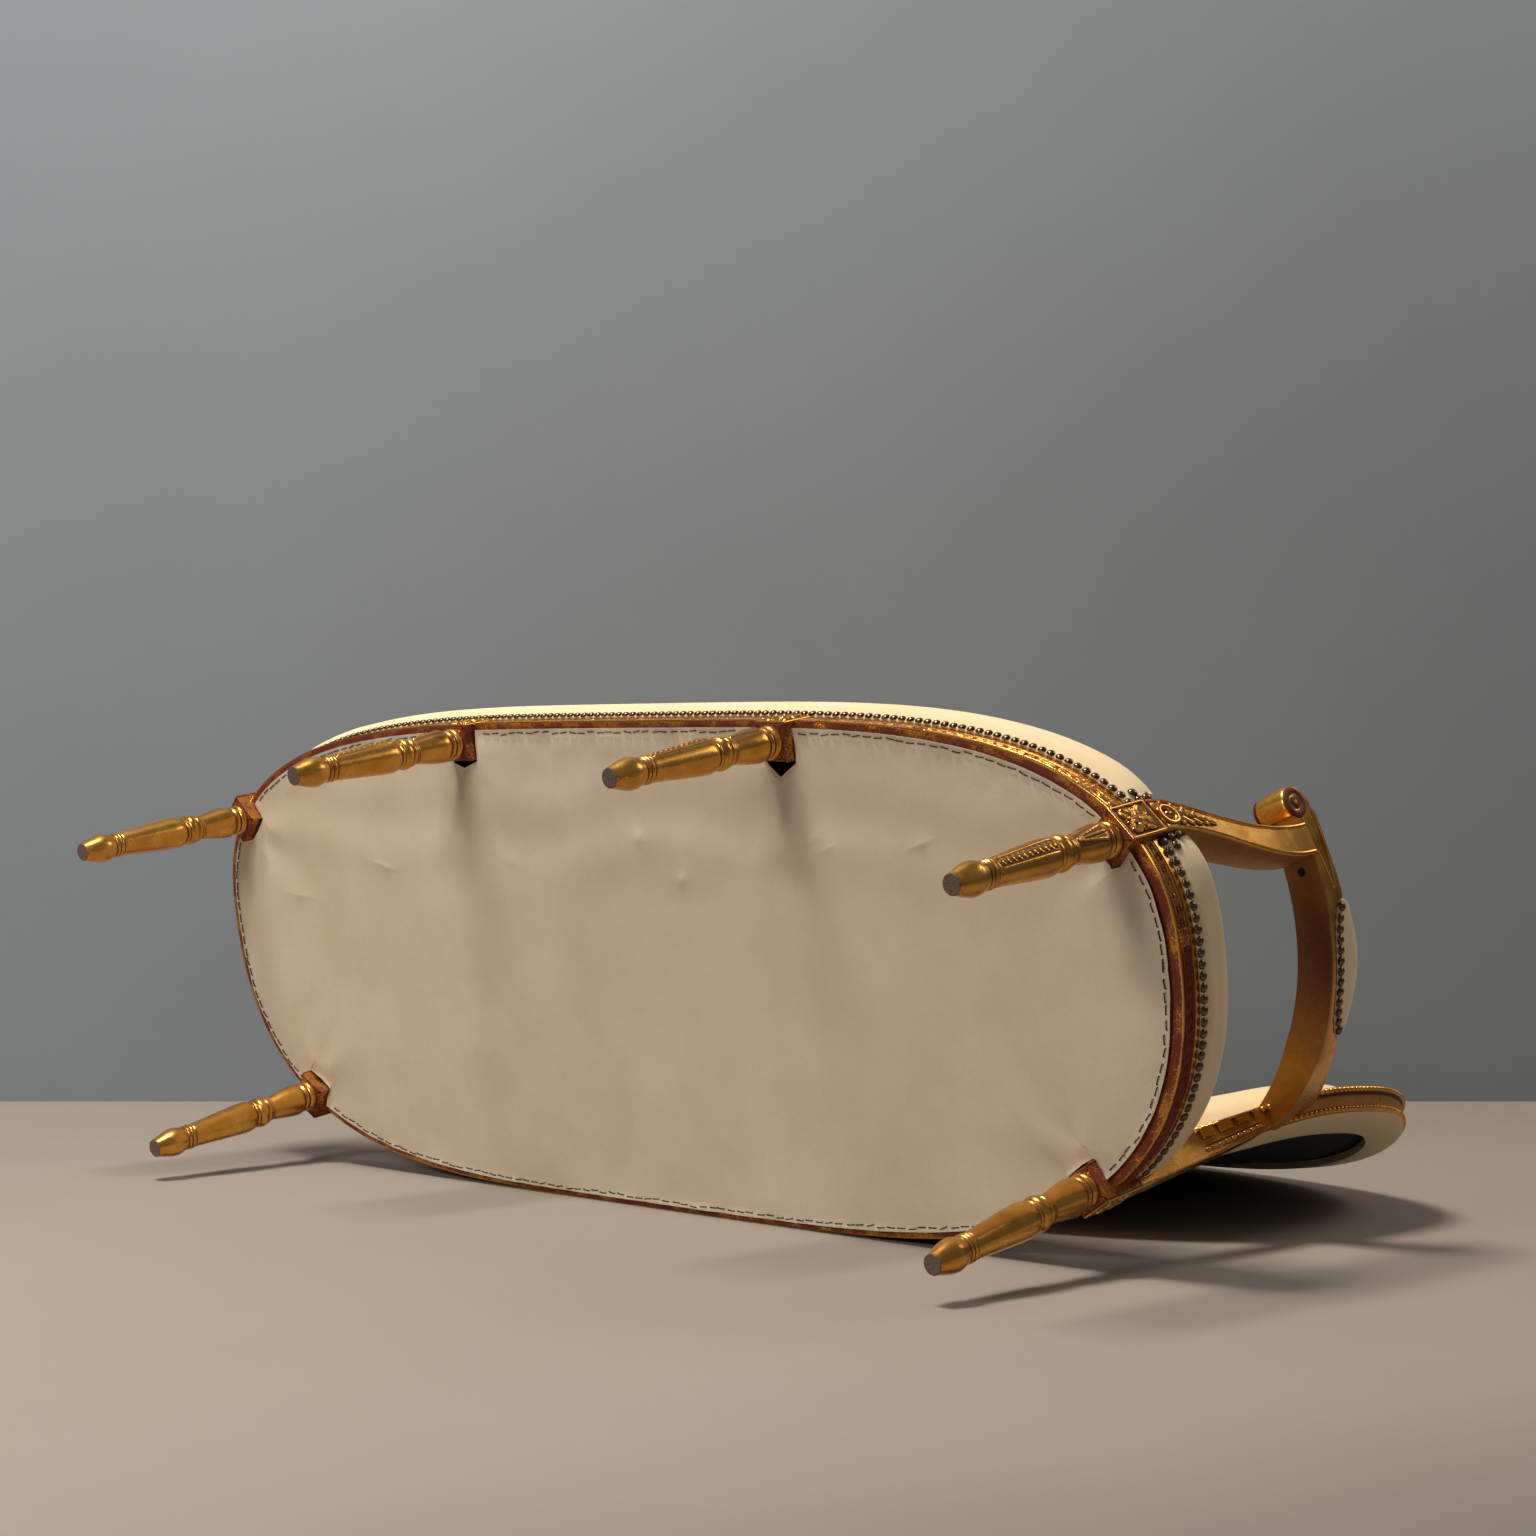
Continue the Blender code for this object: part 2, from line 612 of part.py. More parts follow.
def strap_body(middle, direction, side, half_length):
    """A flat strap of the seat about its middle point."""
    return box_body(middle, direction, side, UP, half_length, HALF_SHARE * STRAP_WIDTH,
                    STRAP_LOW, STRAP_TOP)


def strap_rows():
    """Depths of the long straps and lengths along of the cross straps."""
    inner_front = WIDEST_Y - SEAT_FRONT_DEPTH + RAIL_THICKNESS
    inner_rear = WIDEST_Y + SEAT_REAR_DEPTH - RAIL_THICKNESS
    rows = np.linspace(inner_front, inner_rear, LONG_STRAPS + 2)[1:-1]
    reach = SEAT_HALF_LENGTH - RAIL_THICKNESS - STRAP_WIDTH
    columns = np.linspace(-reach, reach, CROSS_STRAPS + 2)[1:-1]
    return rows, columns


def build_webbing():
    """Make the net of jute straps under the seat, three long ones crossed by seven."""
    rows, columns = strap_rows()
    cross = []
    for column in columns:
        outer = abs(column) + HALF_SHARE * STRAP_WIDTH
        front = inner_depth(outer, STRAP_OUTSET, True)
        rear = inner_depth(outer, STRAP_OUTSET, False)
        middle = np.array((column, HALF_SHARE * (front + rear), 0.0))
        cross.append(strap_body(middle, ALONG, ACROSS, HALF_SHARE * (rear - front)))
    long_straps = []
    for row in rows:
        reach = min(inner_reach(row - HALF_SHARE * STRAP_WIDTH, STRAP_OUTSET),
                    inner_reach(row + HALF_SHARE * STRAP_WIDTH, STRAP_OUTSET))
        long_straps.append(strap_body(np.array((0.0, row, 0.0)), ACROSS, ALONG, reach))
    net = add_piece("seat_webbing", long_straps, JUTE)
    combine(net, add_cutter("cross_straps", cross), "UNION")
    combine(net, leg_cutter(), "DIFFERENCE")


def spring_body(centre):
    """One coil spring standing on the straps: a three-sided wire on a waisted helix."""
    low = STRAP_TOP + CLEARANCE + SPRING_WIRE
    high = RAIL_TOP - SPRING_WIRE
    share = np.linspace(0, 1, int(SPRING_TURNS * SPRING_STEPS) + 1)
    turn = share * SPRING_TURNS * FULL_TURN
    rise = np.clip((share * SPRING_TURNS - HALF_SHARE) / (SPRING_TURNS - 1), 0, 1)
    radius = SPRING_WAIST + (SPRING_RADIUS - SPRING_WAIST) * np.abs(2 * share - 1)
    rings = []
    for angle, lift, reach in zip(turn, rise, radius):
        out = np.array((math.cos(angle), math.sin(angle), 0.0))
        middle = centre + out * reach + UP * (low + (high - low) * lift)
        inside = middle - out * HALF_SHARE * SPRING_WIRE
        rings.append([middle + out * SPRING_WIRE, inside + UP * SPRING_WIRE,
                      inside - UP * SPRING_WIRE])
    return loft(rings)


def build_springs():
    """Make the seat springs on the outer straps' crossings."""
    rows, columns = strap_rows()
    middle_row, middle_column = LONG_STRAPS // 2, CROSS_STRAPS // 2
    for row_share, depth_name in SPRING_ROW_SHARES:
        row = rows[int(middle_row + row_share * middle_row)]
        for column_share, side_name in SPRING_COLUMN_SHARES:
            column = columns[int(middle_column + column_share * (middle_column - 1))]
            spring = spring_body(np.array((column, row, 0.0)))
            add_piece("seat_spring_" + depth_name + "_" + side_name, [spring], STEEL)


def build_hessian():
    """Make the hessian that closes the springs, tacked on top of the rails."""
    low = RAIL_TOP + CLEARANCE
    edge = -HALF_SHARE * (RAIL_THICKNESS + RABBET_DEPTH)
    cloth = add_piece("seat_hessian", [slab([seat_ring(edge, low)],
                                            [seat_ring(edge, low + HESSIAN)])], JUTE)
    combine(cloth, post_cutter(), "DIFFERENCE")


PAD_BOTTOM = RAIL_TOP + HESSIAN + 2 * CLEARANCE
SKIRT_IN = CLEARANCE - RABBET_DEPTH
SKIRT_OUT = SKIRT_IN + SKIRT_THICKNESS
SKIRT_LOW = SHOW_TOP + CLEARANCE
NAIL_LINE = SKIRT_LOW + NAIL_RADIUS + CLEARANCE
NAIL_WALL_TOP = NAIL_LINE + NAIL_RADIUS + CLEARANCE


def build_seat_pad():
    """Make the stuffed seat: a skirt over the rail's rabbet, swollen sides and a low crown."""
    swell_height = HALF_SHARE * (NAIL_WALL_TOP + SEAT_SHOULDER)
    lower = [seat_ring(SKIRT_IN, PAD_BOTTOM), seat_ring(SKIRT_IN, SKIRT_LOW),
             seat_ring(SKIRT_OUT, SKIRT_LOW), seat_ring(SKIRT_OUT, NAIL_WALL_TOP)]
    rise = SEAT_CROWN - SEAT_SHOULDER
    upper = [
        seat_ring(SEAT_SWELL, swell_height),
        seat_ring(SEAT_SWELL - HALF_SHARE * SKIRT_THICKNESS, SEAT_SHOULDER),
    ]
    upper += [seat_ring(-draw * rise, SEAT_SHOULDER + lift * rise)
              for draw, lift in SEAT_EDGE_SHARES]
    upper += [seat_scaled_ring(share, -RAIL_THICKNESS, SEAT_SHOULDER + lift * rise)
              for share, lift in SEAT_CROWN_SHARES]
    pad = add_piece("seat_pad", [slab(lower, upper)], CREAM)
    combine(pad, post_cutter(), "DIFFERENCE")


def nail_lines(base, low):
    """A nail row's section as (outward, upward) points from its base and its lower edge."""
    inset = NAIL_CROWN_SHARE * NAIL_RADIUS
    high = low + 2 * NAIL_RADIUS
    return ((base, high), (base, low), (base + NAIL_RISE, low + inset),
            (base + NAIL_RISE, high - inset))


def build_seat_nails():
    """Make the close-set nails round the seat: one domed row from post to post on each side."""
    right, _, _, left, rear_left, rear_right = AROUND
    front = span_of(0) + [span_of(0)[-1] + 1] + span_of(1) + [span_of(1)[-1] + 1] + span_of(2)
    runs = (("front", front, right, left), ("left", span_of(3), left, rear_left),
            ("rear", span_of(4), rear_left, rear_right), ("right", span_of(5), rear_right, right))
    for side, indices, start_leg, end_leg in runs:
        lines = nail_lines(SKIRT_OUT + CLEARANCE, NAIL_LINE - NAIL_RADIUS)
        rings = trimmed_rings(lines, indices, start_leg, end_leg)
        add_piece("seat_nails_" + side, [loft(rings)], BRONZE)


def leg_cutter():
    """A hidden guide with the six leg blocks under the rails, grown by the clearance."""
    if "legs" not in _cutters:
        low = STRAP_LOW - CLOTH - OVERRUN
        holes = [leg.block(CLEARANCE, low, RAIL_UNDERSIDE + OVERRUN) for leg in AROUND]
        _cutters["legs"] = add_cutter("leg_holes", holes)
    return _cutters["legs"]


def build_dust_cover():
    """Make the calico dust cover stretched under the straps and cut round the legs."""
    high = STRAP_LOW - CLEARANCE
    outline = [seat_ring(-DUST_COVER_INSET, height) for height in (high - CLOTH, high)]
    cover = add_piece("dust_cover", [slab([outline[0]], [outline[1]])], CALICO)
    combine(cover, leg_cutter(), "DIFFERENCE")


def mirrored(rings):
    """Mirror rings of points left to right, keeping their order of turning."""
    flipped = np.asarray(rings, float).copy()
    flipped[..., 0] *= -1
    return flipped[:, ::-1]


def support_rings(growth):
    """Rings of the right arm support: a block that narrows, sweeps back and turns to the arm."""
    leg = LEGS["front_leg_right"]
    base = CORNER_BLOCK_TOP + CLEARANCE - growth
    top = ARM_UNDERSIDE - CLEARANCE + growth
    start = math.atan2(leg.outward[1], leg.outward[0])
    depth = HALF_SHARE * SUPPORT_DEPTH
    rings = []
    for share, width_share in SUPPORT_OUTLINE_SHARES:
        ease = share * share * (3 - 2 * share)
        angle = start + SUPPORT_TURN * ease
        out = np.array((math.cos(angle), math.sin(angle), 0.0))
        side = np.array((out[1], -out[0], 0.0))
        sweep = np.array((SUPPORT_SIDE_SWEEP * ease, SUPPORT_SWEEP * ease ** SUPPORT_SWEEP_POWER, 0.0))
        middle = leg.centre + sweep + UP * (base + (top - base) * share)
        width = BLOCK_HALF * width_share
        rings.append([middle + out * i * (depth + growth) + side * j * (width + growth)
                      for i, j in CORNERS])
    return np.array(rings)


def stile_rings(growth):
    """Rings of the right rear stile, from its block up to the underside of the armrest."""
    leg = LEGS["rear_leg_right"]
    base = CORNER_BLOCK_TOP + CLEARANCE - growth
    top = ARM_UNDERSIDE - CLEARANCE + growth
    rear = leg.centre + leg.outward * BLOCK_HALF
    rings = []
    for share, width_share, depth_share in STILE_OUTLINE_SHARES:
        half_depth = HALF_SHARE * STILE_DEPTH * depth_share + growth
        half_width = HALF_SHARE * STILE_WIDTH * width_share + growth
        middle = rear - leg.outward * HALF_SHARE * STILE_DEPTH + UP * (base + (top - base) * share)
        rings.append([middle + leg.outward * i * half_depth + leg.onward * j * half_width
                      for i, j in CORNERS])
    return np.array(rings)


def post_rings(leg, rings):
    """Rings of a corner's whole post: its block, then the support or stile on it."""
    grown = BLOCK_HALF + CLEARANCE
    below = []
    for height in (BLOCK_BOTTOM - OVERRUN, CORNER_BLOCK_TOP):
        below.append([leg.centre + leg.outward * i * grown + leg.onward * j * grown + UP * height
                      for i, j in CORNERS])
    above = rings.copy()
    above[0] += UP * CLEARANCE
    return np.concatenate([below, above])


def post_cutter():
    """A hidden guide with the four corner posts, grown by the clearance."""
    if "posts" not in _cutters:
        bodies = []
        for rings in (post_rings(LEGS["front_leg_right"], support_rings(CLEARANCE)),
                      post_rings(LEGS["rear_leg_right"], stile_rings(CLEARANCE))):
            bodies += [loft(rings), loft(mirrored(rings))]
        _cutters["posts"] = add_cutter("posts", bodies)
    return _cutters["posts"]


def back_surface(x_place, height):
    """Depth of the rear surface of the oval back: it leans back and curves forward at the ends."""
    lean = BACK_LEAN_SHARE * (BACK_TOP - height)
    return BACK_REAR_Y - lean - BACK_CURVE * np.abs(x_place / BACK_HALF_LENGTH) ** BACK_CURVE_POWER


def oval_units():
    """Unit coordinates round the oval, crest first, spaced by length."""
    turn = np.linspace(0, FULL_TURN, OVAL_SAMPLES + 1)
    cosine, sine = np.cos(turn), np.sin(turn)
    reach = (np.abs(cosine / BACK_HALF_HEIGHT) ** BACK_POWER
             + np.abs(sine / BACK_HALF_LENGTH) ** BACK_POWER) ** (-1 / BACK_POWER)
    unit = np.stack([reach * sine / BACK_HALF_LENGTH, reach * cosine / BACK_HALF_HEIGHT], 1)
    true = unit * (BACK_HALF_LENGTH, BACK_HALF_HEIGHT)
    length = np.concatenate([[0], np.cumsum(np.linalg.norm(np.diff(true, axis=0), axis=1))])
    spots = np.linspace(0, length[-1], 4 * QUARTER_STEPS + 1)[:-1]
    return np.stack([np.interp(spots, length, unit[:, k]) for k in (0, 1)], 1)


OVAL = oval_units()


def oval_ring(inset, depth, share=1.0):
    """A ring of points of the back at an inset from its edge and a depth from its rear face."""
    across = OVAL[:, 0] * (BACK_HALF_LENGTH - inset) * share
    height = BACK_MIDDLE + OVAL[:, 1] * (BACK_HALF_HEIGHT - inset) * share
    return np.column_stack([across, back_surface(across, height) - depth, height])


def ring_section(growth):
    """The oval ring's moulded section as (inset, depth) points."""
    front = RING_THICKNESS
    rabbet = RING_WIDTH - RING_RABBET
    if growth:
        proud = front + BEAD + growth
        inside = RING_WIDTH + growth
        behind = -BAND_ROOM - growth
        return [(-growth, behind), (-growth, proud), (inside, proud), (inside, behind)]
    face = [(BEAD * across, front + BEAD * proud) for across, proud in RING_FACE_SHARES]
    return [(BEAD, 0.0), (0.0, BEAD), (BEAD, 2 * BEAD)] + face + [
        (rabbet - BEAD, front), (rabbet, front - HALF_SHARE * BEAD), (rabbet, front - BEAD),
        (RING_WIDTH, front - BEAD), (RING_WIDTH, 0.0),
    ]


def ring_rings(indices, growth=0.0):
    """Sections of the oval ring at the given stations."""
    lines = np.stack([oval_ring(inset, depth) for inset, depth in ring_section(growth)], 1)
    return lines[np.mod(indices, len(OVAL))]


def shortened(rings):
    """Draw both end sections in by half the clearance along their own edges."""
    rings = rings.copy()
    for end, near in ((0, 1), (-1, -2)):
        chord = rings[near] - rings[end]
        rings[end] += chord * (HALF_SHARE * CLEARANCE / np.linalg.norm(chord, axis=1))[:, None]
    return rings


def build_back_ring():
    """Make the oval ring from four pieces, butted in the middle of each quarter and dowelled."""
    half = QUARTER_STEPS // 2
    runs = (("back_crest_rail", -half, half), ("back_side_right", half, 3 * half),
            ("back_lower_rail", 3 * half, 5 * half), ("back_side_left", 5 * half, 7 * half))
    pieces = {}
    for name, first, last in runs:
        rings = shortened(ring_rings(np.arange(first, last + 1)))
        pieces[name] = add_piece(name, [loft(rings)], GOLD)
    holes = []
    for number, joint in enumerate((half, 3 * half, 5 * half, 7 * half), 1):
        before, ring, after = ring_rings(np.array([joint - 1, joint, joint + 1]))
        middle = ring[0] + (ring[-1] - ring[0]) * DOWEL_SHARE - ALONG * HALF_SHARE * RING_THICKNESS
        direction = after[0] - before[0]
        direction = direction / np.linalg.norm(direction)
        reach = direction * HALF_SHARE * DOWEL_LENGTH
        slack = direction * CLEARANCE
        add_piece(f"back_dowel_{number}", [peg(middle - reach, middle + reach, DOWEL_RADIUS,
                                               DOWEL_SIDES)], WOOD)
        holes.append(peg(middle - reach - slack, middle + reach + slack,
                         DOWEL_RADIUS + CLEARANCE, DOWEL_SIDES))
    guide = add_cutter("dowel_holes", holes)
    for piece in pieces.values():
        combine(piece, guide, "DIFFERENCE")


def ring_guide():
    """A hidden guide of the whole oval ring, grown by the clearance."""
    if "ring" not in _cutters:
        rings = ring_rings(np.arange(len(OVAL)), CLEARANCE)
        _cutters["ring"] = add_cutter("oval_guide", [loft(rings, closed=True)])
    return _cutters["ring"]


def back_columns():
    """Columns of the inside of the ring, left to right, as (reach, low, high)."""
    ring = oval_ring(RING_WIDTH + CLEARANCE, 0.0)
    half = 2 * QUARTER_STEPS
    columns = []
    for index in range(1 - QUARTER_STEPS, QUARTER_STEPS):
        top, low = ring[index], ring[half - index]
        columns.append((top[0], low[2], top[2]))
    return columns


def back_sheet(columns, depth, thickness):
    """A cloth or strap in the oval back: straight up each column, bent from column to column."""
    sections = []
    for reach, surface_reach, low, high in columns:
        section = []
        for height, layer in ((low, 0), (high, 0), (high, 1), (low, 1)):
            rear = np.interp(reach, *zip(*surface_reach)) + BACK_LEAN_SHARE * (height - BACK_MIDDLE)
            section.append((reach, rear - depth - layer * thickness, height))
        sections.append(section)
    return loft(sections)


def band_columns(side):
    """Columns of the upper (side 1) or lower (side -1) half of the cloth border of the back."""
    inner, outer = oval_ring(RING_WIDTH, 0.0), oval_ring(BEAD, 0.0)
    quarter = np.arange(-QUARTER_STEPS, QUARTER_STEPS + 1)
    inner, outer = inner[quarter], outer[quarter]
    extra = [reach for reach in outer[1:-1, 0]
             if np.abs(inner[:, 0] - reach).min() > BEAD]
    columns = []
    for reach in sorted([*inner[:, 0], *extra]):
        near = HALF_SHARE * CLEARANCE
        if abs(reach) < inner[-1, 0]:
            near += np.interp(reach, inner[:, 0], inner[:, 2]) - BACK_MIDDLE
        far = np.interp(reach, outer[:, 0], outer[:, 2]) - BACK_MIDDLE
        columns.append((reach, [BACK_MIDDLE + side * near, BACK_MIDDLE + side * far]))
    return columns


def surface_of_band():
    """The rear surface at middle height as (reach, depth) at the columns of the border."""
    return [(reach, float(back_surface(reach, BACK_MIDDLE))) for reach, _ in band_columns(1.0)]


def build_back_filling():
    """Make the back's cloths, straps and pad inside the ring."""
    inner = RING_WIDTH + CLEARANCE
    columns = back_columns()
    surface = [(reach, float(back_surface(reach, BACK_MIDDLE))) for reach, _, _ in columns]
    full = [(reach, surface, low, high) for reach, low, high in columns]
    add_piece("outside_back_lining", [back_sheet(full, LINING_RECESS, CLOTH)], LINING)

    for name, side in (("outside_back_band_upper", 1.0), ("outside_back_band_lower", -1.0)):
        columns_of_band = [(reach, surface_of_band(), *sorted(levels))
                           for reach, levels in band_columns(side)]
        add_piece(name, [back_sheet(columns_of_band, -CLEARANCE - CLOTH, CLOTH)], CREAM)

    webbing_depth = LINING_RECESS + CLOTH + CLEARANCE
    hessian_depth = webbing_depth + STRAP_THICKNESS + CLEARANCE
    for name, share in BACK_STRAP_SHARES:
        level = BACK_MIDDLE + BACK_HALF_HEIGHT * share
        low, high = level - HALF_SHARE * STRAP_WIDTH, level + HALF_SHARE * STRAP_WIDTH
        route = [(reach, surface, low, high) for reach, lower, upper in columns
                 if lower < low and upper > high]
        add_piece(name, [back_sheet(route, webbing_depth, STRAP_THICKNESS)], JUTE)
    add_piece("back_hessian", [back_sheet(full, hessian_depth, HESSIAN)], JUTE)

    bottom = hessian_depth + HESSIAN + BACK_PAD_GAP
    rabbet = RING_THICKNESS - BEAD + CLEARANCE
    hem_edge = RING_WIDTH - RING_RABBET + CLEARANCE
    hem_front = rabbet + HEM
    rise_edge = hem_edge + 2 * (NAIL_RADIUS + CLEARANCE)
    lower = [oval_ring(inner, bottom, CLOTH_RING_SHARE), oval_ring(inner, bottom),
             oval_ring(inner, rabbet), oval_ring(hem_edge, rabbet),
             oval_ring(hem_edge, hem_front), oval_ring(rise_edge, hem_front)]
    crown = BACK_SWELL - HEM
    upper = [oval_ring(rise_edge + inward * NAIL_RADIUS, hem_front + rise * crown, share)
             for inward, rise, share in BACK_PAD_SHARES]
    add_piece("back_pad", [slab(lower, upper)], CREAM)
    nail_edge = hem_edge + CLEARANCE + 2 * NAIL_RADIUS
    row = [oval_ring(nail_edge - inset, depth)
           for depth, inset in nail_lines(hem_front + CLEARANCE, 0.0)[::-1]]
    row = row[2:] + row[:2]
    add_piece("back_nails", [loft(np.stack(row, 1), closed=True)], BRONZE)


class ArmPath:
    """The right armrest's middle line on the plan; its heading turns from front to rear."""

    def __init__(self):
        share = np.linspace(0.0, 1.0, ARM_SAMPLES + 1)
        turned = (ARM_REAR_HEADING - ARM_FRONT_HEADING) * share ** ARM_HEADING_POWER
        heading = ARM_FRONT_HEADING + turned
        step = ARM_LENGTH / ARM_SAMPLES
        flat = np.stack([np.cos(heading), np.sin(heading)], 1)
        moves = np.cumsum(HALF_SHARE * (flat[1:] + flat[:-1]) * step, axis=0)
        start = (SEAT_HALF_LENGTH - ARM_FRONT_INSET, WIDEST_Y - SEAT_FRONT_DEPTH + ARM_FRONT_SETBACK)
        self.travel = share * ARM_LENGTH
        self.points = np.vstack([np.zeros(2), moves]) + start
        self.heading = heading

    def at(self, travel):
        """Give the plan point, outward direction and rearward direction at a travel."""
        point = [np.interp(travel, self.travel, self.points[:, k]) for k in (0, 1)]
        heading = float(np.interp(travel, self.travel, self.heading))
        rearward = np.array((math.cos(heading), math.sin(heading), 0.0))
        return np.array((*point, 0.0)), np.cross(rearward, UP), rearward


ARM_PATH = ArmPath()
ARM_PAD_END = ARM_PAD_START + ARM_PAD_LENGTH
ARM_PAD_HALF = HALF_SHARE * ARM_WIDTH - ARM_PAD_INSET
NAIL_BORDER = 2 * (NAIL_RADIUS + CLEARANCE)


def arm_section(width, low, high, edge):
    """The armrest's section as (outward, height) points with eased top edges."""
    half = HALF_SHARE * width
    eased = HALF_SHARE * edge
    return ((-half, low), (half, low), (half, high - edge), (half - eased, high - eased),
            (half - edge, high), (edge - half, high), (-half, high - edge))


def saddle_height(share):
    """Height of the saddle above the armrest's underside at a share of the pad's length."""
    rise = ARM_SADDLE_FRONT_RISE if share < HALF_SHARE else ARM_SADDLE_REAR_RISE
    return ARM_SADDLE_HEIGHT + rise * abs(2 * share - 1) ** ARM_SADDLE_POWER


def arm_stations():
    """The armrest's sections as (travel, height, edge): before, under and behind the pad."""
    front, padded, rear = ARM_STEPS
    stations = []
    for share in np.linspace(0.0, 1.0, front + 1):
        height = ARM_SCROLL_HEIGHT + (ARM_FRONT_HEIGHT - ARM_SCROLL_HEIGHT) * share
        stations.append(((ARM_PAD_START - ARM_PAD_STEP) * share, height, ARM_EDGE))
    for share in np.linspace(0.0, 1.0, padded + 1):
        travel = ARM_PAD_START + ARM_PAD_LENGTH * share
        stations.append((travel, saddle_height(share), ARM_PAD_INSET))
    for share in np.linspace(0.0, 1.0, rear + 1):
        first = ARM_PAD_END + ARM_PAD_STEP
        height = ARM_REAR_HEIGHT + ARM_REAR_RISE * share
        stations.append((first + (ARM_LENGTH - first) * share, height, ARM_EDGE))
    return stations


def arm_rings():
    """Rings of the right armrest: the scroll turns under in front, the rear rises to the oval."""
    rings = []
    centre, outward, rearward = ARM_PATH.at(0.0)
    origin = centre + UP * ARM_UNDERSIDE
    for share in np.linspace(1.0, 0.0, SCROLL_STEPS + 1)[:-1]:
        turn = QUARTER + SCROLL_TURN * share
        radial = rearward * math.cos(turn) + UP * math.sin(turn)
        reach = SCROLL_RADIUS + (ARM_SCROLL_HEIGHT - SCROLL_RADIUS) * (1 - share) ** SCROLL_POWER
        section = arm_section(ARM_WIDTH, SCROLL_EYE, reach, ARM_EDGE)
        rings.append([origin + outward * across + radial * level for across, level in section])
    for travel, height, edge in arm_stations():
        centre, outward, rearward = ARM_PATH.at(travel)
        narrow = max(0.0, (travel - ARM_LENGTH + ARM_NARROWING) / ARM_NARROWING)
        width = ARM_WIDTH + (ARM_REAR_WIDTH - ARM_WIDTH) * narrow
        low = SCROLL_EYE if travel == 0 else 0.0
        rings.append([centre + outward * across + UP * (ARM_UNDERSIDE + level)
                      for across, level in arm_section(width, low, height, edge)])
    return np.array(rings)


def arm_pad_rings():
    """Rings of the right arm pad: a border for the nails, then a crown drawn in at the ends."""
    rings = []
    for share in np.linspace(0.0, 1.0, ARM_PAD_STEPS + 1):
        gap = ARM_PAD_STEP * (1 - 2 * share)
        centre, outward, _ = ARM_PATH.at(ARM_PAD_START + gap + ARM_PAD_LENGTH * share)
        low = saddle_height(share) + CLEARANCE
        border = low + NAIL_BORDER
        full = ARM_PAD_END_SHARE + (1 - ARM_PAD_END_SHARE) * math.sqrt(math.sin(math.pi * share))
        crown = [(ARM_PAD_HALF * width, border + (ARM_PAD_CROWN - border) * rise * full)
                 for width, rise in ARM_PAD_SHARES]
        outer = [(ARM_PAD_HALF, low), (ARM_PAD_HALF, border)] + crown
        inner = [(-across, level) for across, level in reversed(outer[:-1])]
        rings.append([centre + outward * across + UP * (ARM_UNDERSIDE + level)
                      for across, level in outer + inner])
    return np.array(rings)


def arm_nail_row(side):
    """The nails on one border of the right arm pad: a row of heads that swell and neck."""
    first = ARM_PAD_START + ARM_PAD_STEP + CLEARANCE
    last = ARM_PAD_END - ARM_PAD_STEP - CLEARANCE
    rings = []
    for index, travel in enumerate(np.linspace(first, last, 2 * ARM_PAD_NAILS + 1)):
        share = 1.0 if index % 2 else NAIL_NECK_SHARE
        centre, outward, _ = ARM_PATH.at(travel)
        seat = saddle_height((travel - ARM_PAD_START) / ARM_PAD_LENGTH)
        middle = centre + UP * (ARM_UNDERSIDE + seat + NAIL_BORDER - NAIL_RADIUS)
        face = middle + outward * side * (HALF_SHARE * ARM_WIDTH + CLEARANCE)
        rings.append([face - UP * NAIL_RADIUS * share, face + UP * NAIL_RADIUS * share,
                      face + outward * side * NAIL_RISE * share])
    return np.array(rings)


def arm_screw(growth):
    """The screw in the right armrest's underside, or with growth its bore."""
    centre = ARM_PATH.at(ARM_SCREW_PLACE)[0] + UP * ARM_UNDERSIDE
    low = -OVERRUN if growth else ARM_SCREW_SINK
    high = ARM_SCREW_SINK + ARM_SCREW_LENGTH + growth
    return peg(centre + UP * low, centre + UP * high, ARM_SCREW_RADIUS + growth, ARM_SCREW_SIDES)


def flipped(body):
    """Mirror one body left to right."""
    points, faces = body
    return np.asarray(points, float) * (-1, 1, 1), [tuple(reversed(face)) for face in faces]


def both_sides(name, rings, look):
    """Make the right piece and its mirrored left twin."""
    right = add_piece(name + "_right", [loft(rings)], look)
    left = add_piece(name + "_left", [loft(mirrored(rings))], look)
    return right, left


def build_arms():
    """Make supports, stiles, armrests, their pads, nails and screws."""
    both_sides("arm_support", support_rings(0.0), GOLD)
    stiles = both_sides("back_stile", stile_rings(0.0), GOLD)
    arms = both_sides("armrest", arm_rings(), GOLD)
    for piece in stiles + arms:
        combine(piece, ring_guide(), "DIFFERENCE")
    bore = arm_screw(CLEARANCE)
    bores = add_cutter("screw_bores", [bore, flipped(bore)])
    for piece in arms:
        combine(piece, bores, "DIFFERENCE")
    for side, body in (("right", arm_screw(0.0)), ("left", flipped(arm_screw(0.0)))):
        add_piece("arm_screw_" + side, [body], STEEL)
    both_sides("arm_pad", arm_pad_rings(), CREAM)
    both_sides("arm_nails_outer", arm_nail_row(1), BRONZE)
    both_sides("arm_nails_inner", arm_nail_row(-1), BRONZE)


def build_all():
    """Build the whole sofa."""
    clear_scene()
    build_legs()
    build_rails()
    build_glue_blocks()
    build_webbing()
    build_springs()
    build_hessian()
    build_seat_pad()
    build_seat_nails()
    build_dust_cover()
    build_back_ring()
    build_back_filling()
    build_arms()


build_all()
